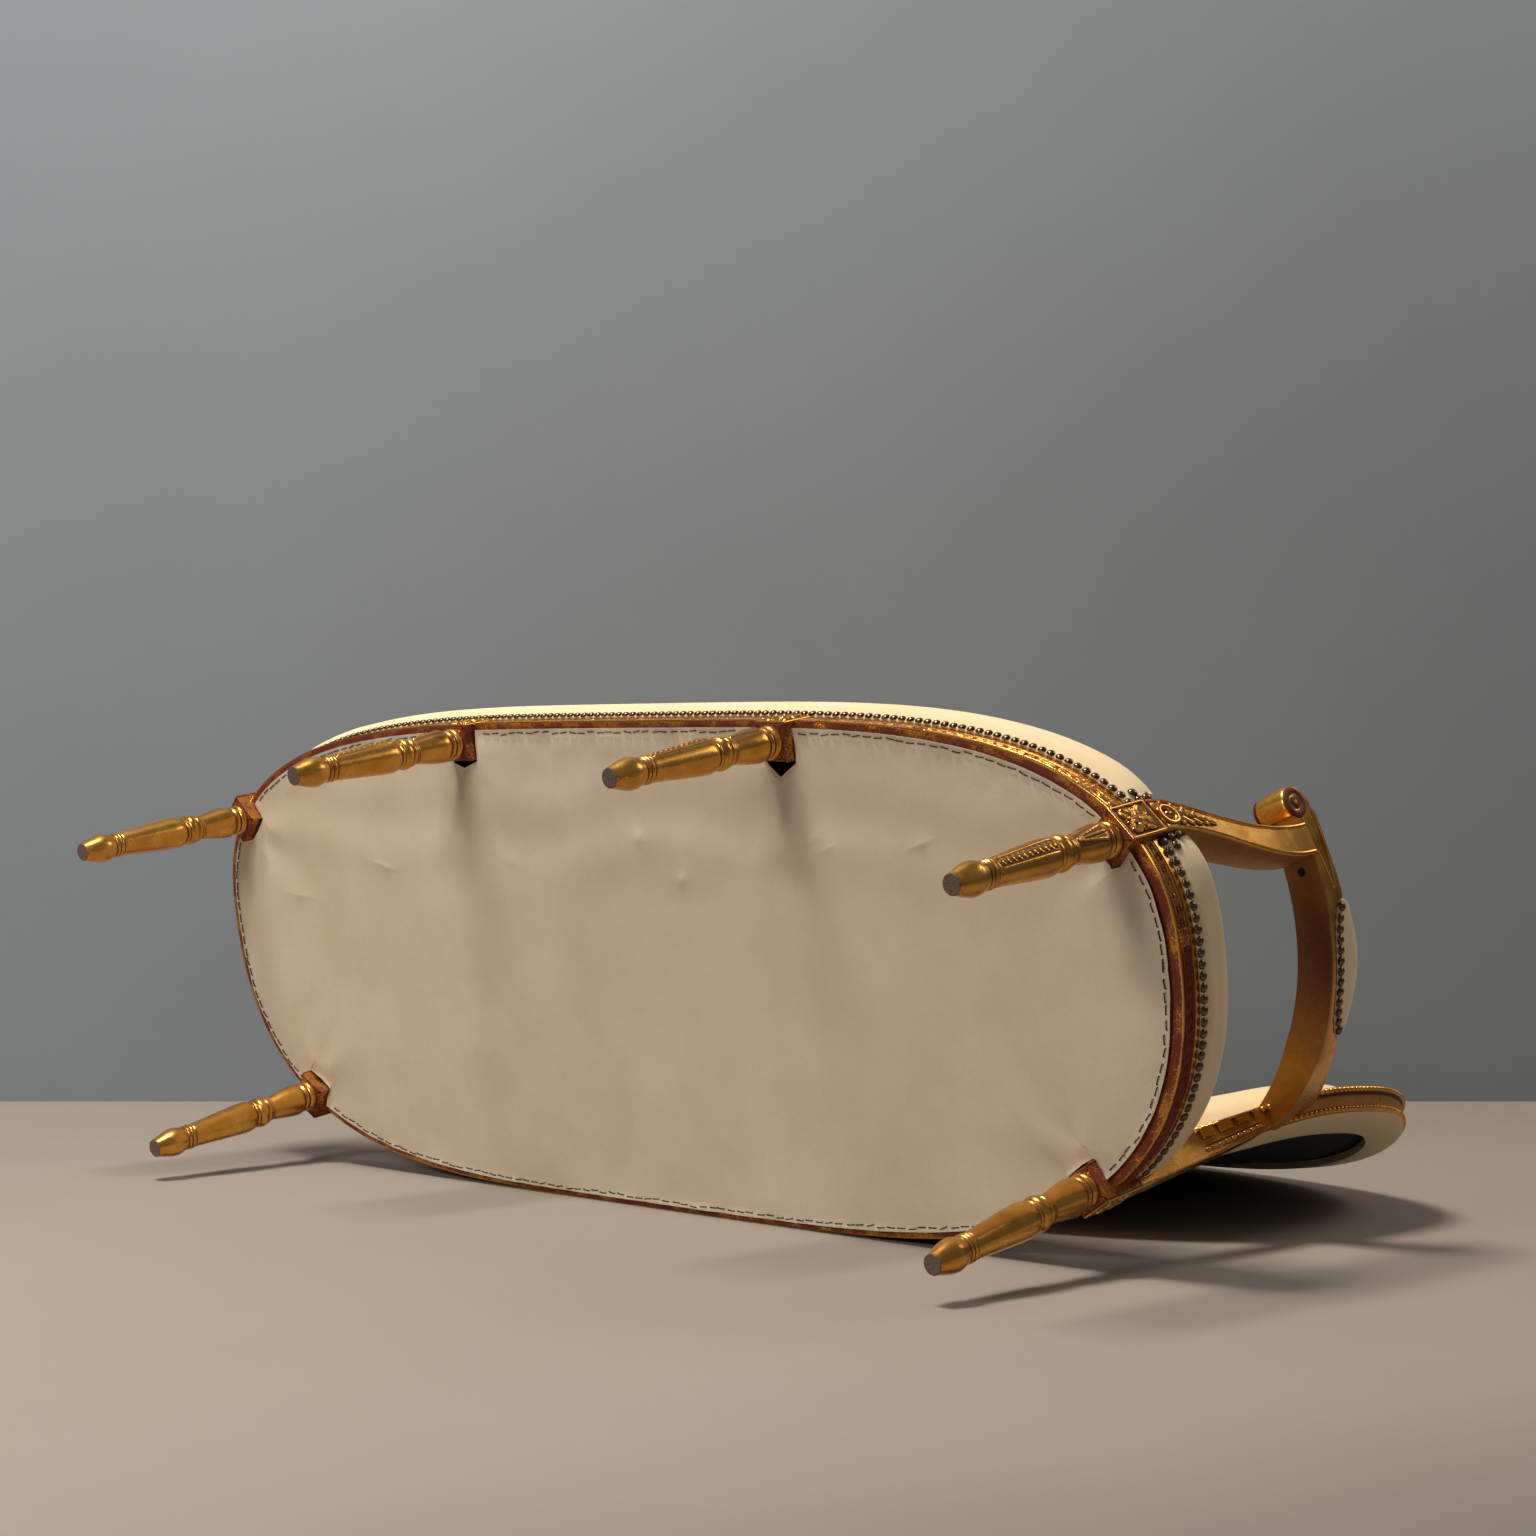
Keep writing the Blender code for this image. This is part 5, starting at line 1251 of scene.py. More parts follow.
@dataclass
class SeatUpholstery:
    """Stuffed seat, its nailing, the stapled dust cover and what shows of the fixings."""

    finishes: Finishes
    pitch: float = 12.9 * MM
    nail_level: float = 0.3262
    crown: float = 0.412
    front_swell: float = 10 * MM
    bulge_level: float = 0.357
    bulge_half: float = 0.030
    dip_level: float = 0.345
    # Half of the stretch at a corner block where the cover is cut
    cut_half: float = 34 * MM
    cover_level: float = 0.2862
    cover_inset: float = 9 * MM
    cover_thickness: float = 0.7 * MM
    # Beside a block the calico's threads fan out
    fan_near: float = 28 * MM
    fan_far: float = 110 * MM
    fan_foot: float = 41 * MM
    thread_run: float = 80 * MM
    staple_pitch: float = 17 * MM
    staple_half: float = 5.2 * MM
    staple_wire: float = 0.55 * MM
    # Profile of the pad's side as outset in millimetres and height, from the hem upward
    side: Profile = (
        (-4.0, 0.3600), (-4.0, 0.3235), (-3.2, 0.3229), (1.4, 0.3230), (2.2, 0.3245),
        (2.4, 0.3284), (2.8, 0.3330), (3.6, 0.3370), (4.8, 0.3425), (5.6, 0.3500),
        (5.9, 0.3570), (5.6, 0.3640), (4.4, 0.3715), (2.0, 0.3785), (-1.8, 0.3845),
        (-7.0, 0.3895), (-14.0, 0.3936), (-24.0, 0.3972))
    # Points where something pushes on the calico from above: x, y and size
    pushes: tuple[Triple, ...] = (
        (-0.481, -0.178, 1.0), (-0.679, -0.129, 0.8), (0.031, -0.225, 1.2), (0.098, -0.173, 1.2),
        (0.495, -0.227, 1.3), (0.326, -0.228, 0.8), (0.350, -0.216, 0.8), (-0.22, -0.19, 0.6))

    @staticmethod
    def near_support(places: Array) -> Array:
        """Closeness to the arm supports: 1 beside one, falling as a quarter round over 80 mm.

        Args:
            places: Distances along the seat's outline.

        Returns:
            Values from 0 to 1.
        """
        near = np.zeros(len(places))
        for post in (Post.FRONT_RIGHT, Post.FRONT_LEFT):
            off = 1.0 - np.clip((np.abs(post.gap(places)) - 22 * MM) / (80 * MM), 0.0, 1.0)
            near = np.maximum(near, 1.0 - np.sqrt(1.0 - off ** 2))
        return near

    def ahead(self, places: Array) -> Array:
        """Outset that the stuffed front edge adds, gone towards the ends and the supports."""
        front = ease(-PLAN.unit_at(places)[:, 1], 0.0, 0.7)
        return self.front_swell * front * (1 - self.near_support(places))

    def fullness(self, places: Array) -> Array:
        """Share of the pad's side bulge that is left beside the arm supports."""
        return 1 - 0.75 * self.near_support(places)

    def pad_places(self) -> tuple[Array, Array, Array]:
        """Choose the pad's stations, which crowd together at the corner posts.

        Returns:
            Places, how far the cover is cut in at each (0 to 1), and the depth of that cut.
        """
        corners = [post for post in Post if post.corner]
        places = np.linspace(0, PLAN.total, 420, endpoint=False)
        for post in corners:
            places = places[np.abs(post.gap(places)) > self.cut_half]
        crowd = np.linspace(-33, 33, 45) * MM
        near = [np.mod(post.place + crowd, PLAN.total) for post in corners]
        places = np.sort(np.concatenate([places, *near]))
        cut, depth = np.zeros(len(places)), np.zeros(len(places))
        for post in corners:
            gap = np.abs(post.gap(places))
            cut = np.maximum(cut, 1.0 - ease(gap, 24.4 * MM, 28.0 * MM))
            depth = np.where(gap < self.cut_half, -41 * MM if post.front else -30 * MM, depth)
        return places, cut, depth

    def pad(self) -> None:
        """Build the seat pad: rings of the plan curve from the hem over the edge to the crown.

        The sides bulge outside the rail, more so in front, and over a shoulder the top rises on
        a low dome, 1 - (1 - t)^2 from the edge to the middle.
        """
        places, cut, depth = self.pad_places()
        outset, height = np.array(self.side).T
        outset = outset * MM
        ahead, full = self.ahead(places), self.fullness(places)
        dip = 0.30 * self.near_support(places)
        bulge = bump(height, self.bulge_level, self.bulge_half) * (outset > 1 * MM)
        rings = []
        for o, h, b in zip(outset, height, bulge):
            reach = (o * full if 2.3 * MM < o else o) + ahead * b
            reach = np.minimum(reach, reach * (1 - cut) + depth * cut)
            rings.append(PLAN.point(places, reach, h - dip * max(h - self.dip_level, 0.0)))
        middle = np.array((0.0, PLAN.widest_y + 0.045, 0.0))
        shares = (0.93, 0.86, 0.78, 0.69, 0.59, 0.48, 0.36, 0.24, 0.12)
        for share in shares:
            ring = middle + (PLAN.point(places, outset[-1]) - middle) * share
            lift = (1 - share) / (1 - shares[-1])
            low = height[-1] - dip * share ** 6 * (height[-1] - self.dip_level)
            ring[:, 2] = low + (self.crown - low) * (1 - (1 - lift) ** 2)
            rings.append(ring)
        below = PLAN.point(places, -0.030, 0.3620)
        inner = middle + (below - middle) * 0.5
        inner[:, 2] = below[:, 2]
        surface = np.array([inner, below, *rings])[:, ::-1]
        shell = Shell("stuffed_seat")
        shell.grid(surface)
        piece = shell.make(self.finishes.cover, "cream_cover", ["seat_pad"], None)
        # The hem is held, and so is each cut, less and less over the top
        held = np.interp(np.arange(len(surface)), (8, 9, 10, 11, 12), (1.0, 0.8, 0.5, 0.2, 0.0))
        fade = np.interp(np.arange(len(surface)), (12, 18), (1.0, 0.0))
        held = np.maximum(held[:, None], np.round(cut[::-1][None] * fade[:, None], 1))
        swell(piece, np.concatenate([held.reshape(-1), [1.0, 0.0]]), 4 * MM)

    def nails(self) -> None:
        """Set the nails of the four sides and the turned-up ones beside each arm support."""
        for side, (start, end) in RUNS.items():
            first, last = run_between(start, end, 6 * MM)
            spots = np.linspace(first, last, int(round((last - first) / self.pitch)) + 1)
            levels = np.full(len(spots), self.nail_level)
            for post, place, inward in ((start, first, MM), (end, last, -MM)):
                if post.front:
                    spots = np.append(spots, place + inward * np.array((-2.0, -2.5, 9.0)))
                    levels = np.append(levels, self.nail_level + np.array((12.0, 23.5, 10.2)) * MM)
            outset = np.interp(levels, (0.328, 0.3370, 0.3425, 0.3500, 0.3570),
                               np.array((1.9, 3.8, 5.2, 6.2, 6.8)) * MM)
            outset = (outset * self.fullness(spots)
                      + self.ahead(spots) * bump(levels, self.bulge_level, self.bulge_half))
            NailRow(self.finishes, "nail_heads_" + side).make(
                PLAN.point(spots, outset, levels), PLAN.outward(spots), PLAN.onward(spots),
                "seat_nails_" + side)

    def cover_edge(self, places: Number) -> Array:
        """Inset of the dust cover's edge: it stands 5 mm further in at the seat's ends."""
        return self.cover_inset + 5 * MM * np.abs(PLAN.unit_at(places)[..., 0]) ** 6

    def plain_edge(self, places: Number) -> Array:
        """Plan points of the dust cover's edge where no block cuts it."""
        return PLAN.point(places, -self.cover_edge(places))

    def cover_outline(self) -> tuple[Array, Array]:
        """Edge of the dust cover, cut back square round each block.

        Returns:
            The edge's points, and the place on the plan curve that each thread runs to: beside
            a block these spread out, so that no two threads cross.
        """
        rows = []
        half = LEVEL.block_half + 1.0 * MM
        for post in Post:
            depth = post.inset + LEVEL.block_half + 1.5 * MM
            # Beyond the middle blocks the cut gapes, wider on the right
            slit = {Post.MIDDLE_RIGHT: 19 * MM, Post.MIDDLE_LEFT: 9 * MM}.get(post, 2 * MM)
            cuts = ((-half, None), (-half, depth * 0.6), (-half, depth + slit * 0.05),
                    (half * 0.10, depth + slit), (half * 0.85, depth + slit * 0.22),
                    (half, depth), (half, depth * 0.6), (half, None))
            origin = PLAN.point(post.place)
            for spread, (reach, deep) in zip(np.linspace(-38, 38, 8) * MM, cuts):
                edge = (self.plain_edge(post.place + reach) if deep is None
                        else origin + reach * post.onward - deep * post.outward)
                rows.append((post.place + spread, *edge))
        spots = np.arange(0, PLAN.total, 5 * MM)
        for post in Post:
            spots = spots[np.abs(post.gap(spots)) > self.fan_near]
        aims = spots
        for post in Post:
            gap = post.gap(spots)
            wide = np.interp(np.abs(gap), (self.fan_near, self.fan_far),
                             (self.fan_foot, self.fan_far))
            aims = np.where(np.abs(gap) < self.fan_far, post.place + np.copysign(wide, gap), aims)
        table = np.vstack([rows, np.column_stack([aims, self.plain_edge(spots)])])
        table[:, 0] = np.mod(table[:, 0], PLAN.total)
        table = table[np.argsort(table[:, 0])]
        return table[:, 1:], table[:, 0]

    def drape(self, x: Array, y: Array) -> Array:
        """Drop of the dust cover below its fixing.

        A shallow sag plus low ripples along the seat, folds that fan out from each block and
        fade with exp(-reach), and small points where something pushes from above.

        Args:
            x: Places along the seat.
            y: Depths.

        Returns:
            Distance below the stapled edge.
        """
        inside = np.clip(1 - np.abs((y + 0.055) / 0.30) ** 2.5, 0, 1)
        drop = 3.4 * MM * (1 - np.abs(x / 0.84) ** 3) * inside
        for post in Post:
            centre = post.centre - post.outward * 22 * MM
            dx, dy = x - centre[0], y - centre[1]
            reach = np.hypot(dx, dy)
            side = (dx * post.onward[0] + dy * post.onward[1]) / np.maximum(reach, 1e-6)
            fade = np.exp(-reach / (75 * MM)) * ease(reach, 2 * MM, 20 * MM)
            drop += 3.4 * MM * fade * np.cos(side * 5.5 + post.reach * 3)
        wander = 0.02 * np.sin(x * 7.0) + 0.012 * np.sin(x * 17.0 + 1.0)
        drop += 1.0 * MM * np.sin((y + wander) * 58) * np.exp(-((y + 0.24) / 0.07) ** 2)
        drop += 0.6 * MM * np.sin(x * 19 + 3 * y) * np.sin(y * 13 + 2 * x)
        for px, py, size in self.pushes:
            reach, stretch = np.hypot(x - px, y - py), np.hypot((x - px) / 2.2, y - py)
            push = 1.9 * np.exp(-reach / (5 * MM)) + 1.2 * np.exp(-stretch / (9 * MM))
            drop += size * MM * push
        return drop

    def dust_cover(self) -> None:
        """Build the calico under the seat: rings drawn in from its outline, dropped by drape.

        Just inside its staples the cloth puckers by a sum of waves along the edge.
        """
        edge, places = self.cover_outline()
        middle = np.array((0.0, -0.055, 0.0))
        shares = np.concatenate([[1.0, 0.996, 0.99, 0.982, 0.972], np.linspace(0.96, 0.04, 44)])
        # Threads first run square to the edge, so that none crosses a block's cut
        inner = self.plain_edge(places) - self.thread_run * PLAN.outward(places)
        shares = shares[:, None, None]
        rings = edge + (inner - edge) * np.clip((1 - shares) / 0.20, 0, 1)
        rings = middle + (rings - middle) * np.minimum(shares / 0.80, 1.0)
        inward = 1 - shares[..., 0]
        hem = np.exp(-(inward / 0.012) ** 2)
        puff = np.exp(-((inward - 0.055) / 0.030) ** 2)
        free = 1 - np.exp(-(inward / 0.05) ** 2)
        noise = np.random.default_rng(3)
        waves = sum(noise.uniform(0.3, 1.0) * np.sin(places * turn + noise.uniform(0, 6))
                    for turn in (7, 17, 31, 53, 83, 131)) / 2.0
        waves = waves * (0.65 + 0.35 * np.sin(places * 5.3 + 1.0) * np.sin(places * 13.7))
        ahead = 0.4 + 1.2 * ease(-edge[:, 1], 0.20, 0.33)
        pucker = 1.4 * waves * hem - ahead * (0.4 + np.clip(waves, -0.6, 1.2)) * puff - hem - 0.3
        rings[..., 2] = (self.cover_level + pucker * MM
                         - self.drape(rings[..., 0], rings[..., 1]) * free)
        upper = rings + self.cover_thickness * UP
        shell = Shell("calico_dust_cover")
        shell.grid(np.concatenate([rings[::-1], upper]))
        piece = shell.make(self.finishes.calico, "calico", ["dust_cover"], 60.0)

    def staples(self) -> None:
        """Drive staples along the dust cover's edge, skipping the blocks."""
        spots = np.arange(0, PLAN.total, self.staple_pitch)
        for post in Post:
            spots = spots[np.abs(post.gap(spots)) > LEVEL.block_half + 6 * MM]
        noise = np.random.default_rng(7)
        spots = spots + noise.normal(0, 1.2 * MM, len(spots))
        inset = -self.cover_edge(spots) - 5 * MM + noise.normal(0, 0.8 * MM, len(spots))
        places = PLAN.point(spots, inset, self.cover_level - 2.2 * MM)
        turn = noise.normal(0, 0.10, len(spots))
        along = unit(PLAN.onward(spots) + PLAN.outward(spots) * turn[:, None])
        # A bent wire of square section: leg, crown and leg
        path = np.array([(-1, 0, 1.6), (-1, 0, 0), (-0.96, 0, -0.45), (0.96, 0, -0.45), (1, 0, 0),
                         (1, 0, 1.6)]) * (self.staple_half, 1.0, MM)
        square = np.array([(1, 1), (-1, 1), (-1, -1), (1, -1)], float) * self.staple_wire
        lean = np.array([(1, 0, 0), (1, 0, 0), (0, 0, 1), (0, 0, 1), (-1, 0, 0), (-1, 0, 0)], float)
        points = path[:, None] + square[:, :1] * lean[:, None] - square[:, 1:] * FRONT
        ends = np.array([(3, 2, 1), (3, 1, 0), (20, 21, 22), (20, 22, 23)])
        shell = Shell("cover_staples")
        shell.copies((points.reshape(-1, 3), grid_faces(6, 4, False, True), ends), places,
                     axes_from(np.broadcast_to(UP, places.shape), along))
        shell.make(self.finishes.staple, "steel", (), 30.0)

    def make(self) -> None:
        """Build everything on and under the seat."""
        for build in (self.pad, self.nails, self.dust_cover, self.staples):
            build()


# --- Arms


@dataclass(frozen=True)
class ArmCourse:
    """Middle line of the right armrest on the plan: its heading turns from front to rear."""

    start: tuple[float, float] = (0.772, -0.2154)
    length: float = 0.408
    first_heading: float = math.radians(68)
    last_heading: float = math.radians(135)
    power: float = 1.16
    steps: int = 400

    def at(self, travel: Number) -> tuple[Array, Array, Array]:
        """Points, outward directions and rearward directions at travels.

        The heading is first + (last - first) * (travel / length)^power; points are its running sum.

        Args:
            travel: Distances from the scroll's axis.

        Returns:
            Three arrays whose last axis is three.
        """
        share = np.linspace(0, 1, self.steps + 1)
        turned = self.last_heading - self.first_heading
        heading = self.first_heading + turned * share ** self.power
        flat = np.stack([np.cos(heading), np.sin(heading)], 1)
        moves = np.cumsum((flat[1:] + flat[:-1]) / 2 * self.length / self.steps, axis=0)
        points = np.vstack([[(0.0, 0.0)], moves]) + self.start
        where = share * self.length
        x, y = (np.interp(travel, where, points[:, k]) for k in (0, 1))
        turn = np.interp(travel, where, heading)
        back = np.stack([np.cos(turn), np.sin(turn), 0 * turn], -1)
        out = np.stack([np.sin(turn), -np.cos(turn), 0 * turn], -1)
        return np.stack([x, y, 0 * x], -1), out, back


@dataclass
class Arm:
    """One arm: support with its carved foot, armrest with a volute, and its nailed pad.

    Everything is worked out on the right and taken to the arm's own side.
    """

    finishes: Finishes
    side: Side
    course: ArmCourse = field(default_factory=ArmCourse)
    low: float = LEVEL.arm_low
    width: float = 47 * MM
    rear_width: float = 32 * MM
    scroll: float = 19 * MM
    scroll_eye: float = 4 * MM
    front_height: float = 31 * MM
    pad_start: float = 0.119
    pad_length: float = 0.156
    pad_crown: float = 75 * MM
    support_depth: float = 48 * MM
    # Half section of the rest's roll as shares of half width and height
    roll: Profile = (
        (-1, 0.0), (1, 0.0), (1, 0.55), (0.985, 0.80), (0.93, 0.92), (0.80, 0.985), (0.5, 1.0),
        (0.0, 1.0), (-0.5, 1.0), (-0.80, 0.985), (-0.93, 0.92), (-0.985, 0.80), (-1, 0.55))
    # Section of the volute in millimetres: radius and height above the side face
    volute: Profile = (
        (0.0, 2.4), (4.0, 2.4), (6.4, 2.1), (7.4, 1.2), (8.0, 0.1), (9.4, -0.2), (10.4, 0.3),
        (11.2, 1.6), (12.6, 2.3), (15.4, 2.4), (17.6, 1.8), (18.8, 0.8), (19.4, -1.0))

    @cached_property
    def rest(self) -> Shell:
        """Mesh of the armrest."""
        return Shell(f"carved_armrest_{self.side.title}")

    def height(self, travel: Array) -> Array:
        """Top of the armrest above its underside, along the course.

        Args:
            travel: Distances along the course.

        Returns:
            Heights, in metres.
        """
        marks = [(0, 31), (60, 36), (108, 42.5), (116, 42.5), (119.5, 36), (126, 26), (140, 18),
                 (160, 14.5), (197, 14), (234, 14.5), (254, 18), (268, 25), (274.5, 31),
                 (277.5, 36), (300, 42), (340, 54), (380, 67), (408, 76)]
        return np.interp(travel, *(np.array(marks).T * MM))

    def carried(self, travel: Array, across: Array, level: Array) -> Array:
        """Points beside the course of the armrest.

        Args:
            travel: Distances along the course, one for each row.
            across: Distances across it, of shape (rows, columns).
            level: Heights above the rest's underside, of the same shape.

        Returns:
            Points, of shape (rows, columns, 3).
        """
        centre, out, _ = self.course.at(travel)
        return (centre[:, None] + across[..., None] * out[:, None]
                + (self.low + level)[..., None] * UP)

    def armrest(self) -> None:
        """Build the armrest: a section with a soft roll on top carried along the course.

        In front it turns about a level axis under the scroll, and its reach shrinks as
        (1 - t)^3 to the scroll's radius.  Over the last 110 mm it narrows to its rear width.
        """
        aside, up = np.array(self.roll).T
        centre, out, back = self.course.at(0.0)
        origin = centre + UP * self.low
        rings = []
        for share in np.linspace(1.0, 0.0, 40)[:-1]:
            turn = math.pi / 2 + math.radians(225) * share
            radial = back * math.cos(turn) + UP * math.sin(turn)
            reach = self.scroll + (self.front_height - self.scroll) * (1 - share) ** 3
            level = self.scroll_eye + (reach - self.scroll_eye) * up
            rings.append(origin + (aside * self.width / 2)[:, None] * out + level[:, None] * radial)
        travel = np.concatenate([np.linspace(0, 0.112, 30), np.linspace(0.1150, 0.2800, 60),
                                 np.linspace(0.2840, 0.408, 32)])
        narrow = np.clip((travel - self.course.length + 0.110) / 0.110, 0, 1)
        half, top = (self.width + (self.rear_width - self.width) * narrow) / 2, self.height(travel)
        base = np.where(travel < 2 * MM, self.scroll_eye, 0.0)
        level = base[:, None] + (top - base)[:, None] * up
        surface = np.concatenate([rings, self.carried(travel, half[:, None] * aside, level)])
        rub, tone = np.full(surface.shape[:2], 0.08), np.zeros(surface.shape[:2])
        rub[40:, :2] = 0.18
        # Painted shade: the underside is toned darker, most in the middle of its run, where it lies
        # in shade
        tone[40:, :2] = (-0.05 - 0.15 * bump(travel[1:], 0.17, 0.15))[:, None]
        self.rest.grid(*(self.side.turned(grid) for grid in (surface, rub, tone)))
        self._screw_hole()
        self._volute()
        self._side_mouldings()
        self.rest.make(self.finishes.gilding, "gilt_wood", [f"armrest_{self.side.title}"])

    def _screw_hole(self) -> None:
        """Add a near-black disc in the screw hole under the armrest, behind the support's head:
        painted shade.
        """
        centre, out, back = self.course.at(0.078)
        spoke = spokes(16, out, -back)
        rings = [centre + UP * (self.low - drop * MM) + spoke * reach * MM
                 for drop, reach in ((-0.6, 5.4), (0.3, 5.4), (0.35, 4.2), (0.3, 2.6), (0.3, 0.8))]
        shell = Shell(f"screw_hole_{self.side.title}")
        shell.grid(self.side.turned(np.array(rings)), 0.0, 0.0)
        # The near-black cloth material paints the shade inside the hole
        shell.make(self.finishes.lining, "lining")

    def _volute(self) -> None:
        """Add the scroll's rims and eyes on both side faces, turned about the scroll's axis."""
        centre, out, back = self.course.at(0.0)
        marks = np.array(self.volute)[:, None] * MM
        for face in (1, -1):
            hub = centre + UP * self.low + out * face * self.width / 2
            rings = hub + marks[..., :1] * spokes(40, back, UP) + marks[..., 1:] * out * face
            self.rest.grid(self.side.turned(rings[::-1, ::-face]), 0.12)

    def _side_mouldings(self) -> None:
        """Add the two beads that run from the volute and meet in a point before the pad."""
        share = np.linspace(0, 1, 40)
        centre, out, _ = self.course.at(0.014 + 0.090 * share)
        for face in (1, -1):
            for low, high in ((3.2, 24.0), (27.5, 26.0)):
                level = (low + (high - low) * share ** 1.6) * MM + 4 * MM * share * (1 - share)
                path = (centre + out * (face * (self.width / 2 + 0.2 * MM))
                        + (self.low + level)[:, None] * UP)
                self.rest.tube(path * self.side.mirror, 1.7 * MM * (1 - 0.35 * share),
                               out * self.side.mirror * face)

    def support_frames(self, share: Array) -> tuple[Array, Array, Array, Array]:
        """Course of the right arm support, which sweeps back and turns by a smooth step.

        Args:
            share: Height shares from 0 to 1.

        Returns:
            Middles, outward directions, side directions and half widths.
        """
        post = Post.FRONT_RIGHT
        smooth = share * share * (3 - 2 * share)
        angle = math.atan2(post.outward[1], post.outward[0]) + math.radians(22) * smooth
        out = np.stack([np.cos(angle), np.sin(angle), 0 * angle], -1)
        side = np.stack([out[..., 1], -out[..., 0], 0 * angle], -1)
        sweep = np.stack([0.009 * smooth, 0.066 * smooth ** 0.8, 0 * smooth], -1)
        half = LEVEL.block_half * np.interp(share, (0.0, 0.12, 0.27, 0.42, 0.58, 0.75, 0.90, 1.0),
                                            (1.0, 0.97, 0.80, 0.70, 0.71, 0.77, 0.82, 0.83))
        height = LEVEL.corner_top + (self.low - LEVEL.corner_top) * share
        return post.centre + sweep + height[..., None] * UP, out, side, half

    def support(self) -> None:
        """Build the arm support: an eased rectangle swept up, a leaf at its foot, beads above."""
        middle, out, side, half = self.support_frames(np.linspace(-0.01, 1.015, 64))
        ring = eased_square(0.10)
        depth = self.support_depth / 2
        surface = (middle[:, None] + ring[:, :1] * depth * out[:, None]
                   + ring[:, 1:] * half[:, None, None] * side[:, None])
        tone = np.array([(-0.12, -0.17, -0.17, 0.0, 0.0, -0.08, -0.08, -0.08)])
        shell = Shell(f"carved_support_{self.side.title}")
        shell.grid(self.side.turned(surface[:, ::-1]), 0.10, self.side.turned(tone))
        share = np.linspace(0.015, 0.40, 110)
        middle, out, side, half = self.support_frames(share)
        across = np.linspace(1, -1, 41)
        along = ((share - share[0]) / (share[-1] - share[0]))[:, None]
        base = (middle[:, None] + (depth - 0.2 * MM) * out[:, None]
                + (across * (half[:, None] * 0.86))[..., None] * side[:, None])
        tall = 5.2 * MM * acanthus(*np.broadcast_arrays(across[None], along))
        normal = np.broadcast_to(out[:, None], base.shape)
        shell.plate(*(self.side.turned(grid) for grid in (base, normal, tall)), 1 * MM, 0.1)
        middle, out, side, half = self.support_frames(np.linspace(0.01, 1.0, 80))
        for lean in (0.84, -0.84):
            path = middle + (depth + 0.3 * MM) * out + (lean * half)[:, None] * side
            shell.tube(path * self.side.mirror, 2.1 * MM, out * self.side.mirror)
        shell.make(self.finishes.gilding, "gilt_wood", [f"arm_support_{self.side.title}"])

    def pad(self) -> None:
        """Build the arm pad: half-round sections whose crown rises as sqrt(sin(pi t))."""
        share = np.linspace(0, 1, 45)
        travel = self.pad_start + 1 * MM + (self.pad_length - 2 * MM) * share
        seat = self.height(np.clip(travel, 0.127, 0.267)) + 0.6 * MM
        border = seat + 11.5 * MM
        full = 0.34 + 0.66 * np.sqrt(np.clip(np.sin(math.pi * share), 0, 1))
        crown = border + (self.pad_crown - border) * full
        turn = np.linspace(0, math.pi, 21)
        half = self.width / 2 - 1.2 * MM
        across = np.sign(np.cos(turn)) * np.abs(np.cos(turn)) ** 0.72 * (1 + 0.05 * np.sin(turn))
        across = np.concatenate([[1.0], across, [-1.0]])
        rise = border[:, None] + (crown - border)[:, None] * np.sin(turn) ** 0.8
        level = np.concatenate([seat[:, None], rise, seat[:, None]], 1)
        surface = self.carried(travel, (half * across)[None], level)
        shell = Shell(f"stuffed_arm_pad_{self.side.title}")
        shell.grid(self.side.turned(surface))
        piece = shell.make(self.finishes.cover, "cream_cover", [f"arm_pad_{self.side.title}"], None)
        held = np.ones(surface.shape[:2])
        held[1:-1, 3:-3] = 0.0
        swell(piece, np.append(self.side.turned(held).reshape(-1), (1.0, 1.0)), 2 * MM)

    def nails(self) -> None:
        """Set the nails along both edges of the pad."""
        margin = 7 * MM
        travel = np.linspace(self.pad_start + margin, self.pad_start + self.pad_length - margin, 13)
        centre, out, back = self.course.at(travel)
        level = self.low + self.height(np.clip(travel, 0.127, 0.267)) + 6 * MM
        mirror = self.side.mirror
        for title, face in (("outer", 1), ("inner", -1)):
            places = centre + out * (face * (self.width / 2 - 0.6 * MM)) + level[:, None] * UP
            NailRow(self.finishes, f"arm_nail_heads_{title}_{self.side.title}").make(
                places * mirror, out * face * mirror, back * mirror,
                f"arm_nails_{title}_{self.side.title}")

    def make(self) -> None:
        """Build the whole arm."""
        for build in (self.support, self.armrest, self.pad, self.nails):
            build()


# --- Back


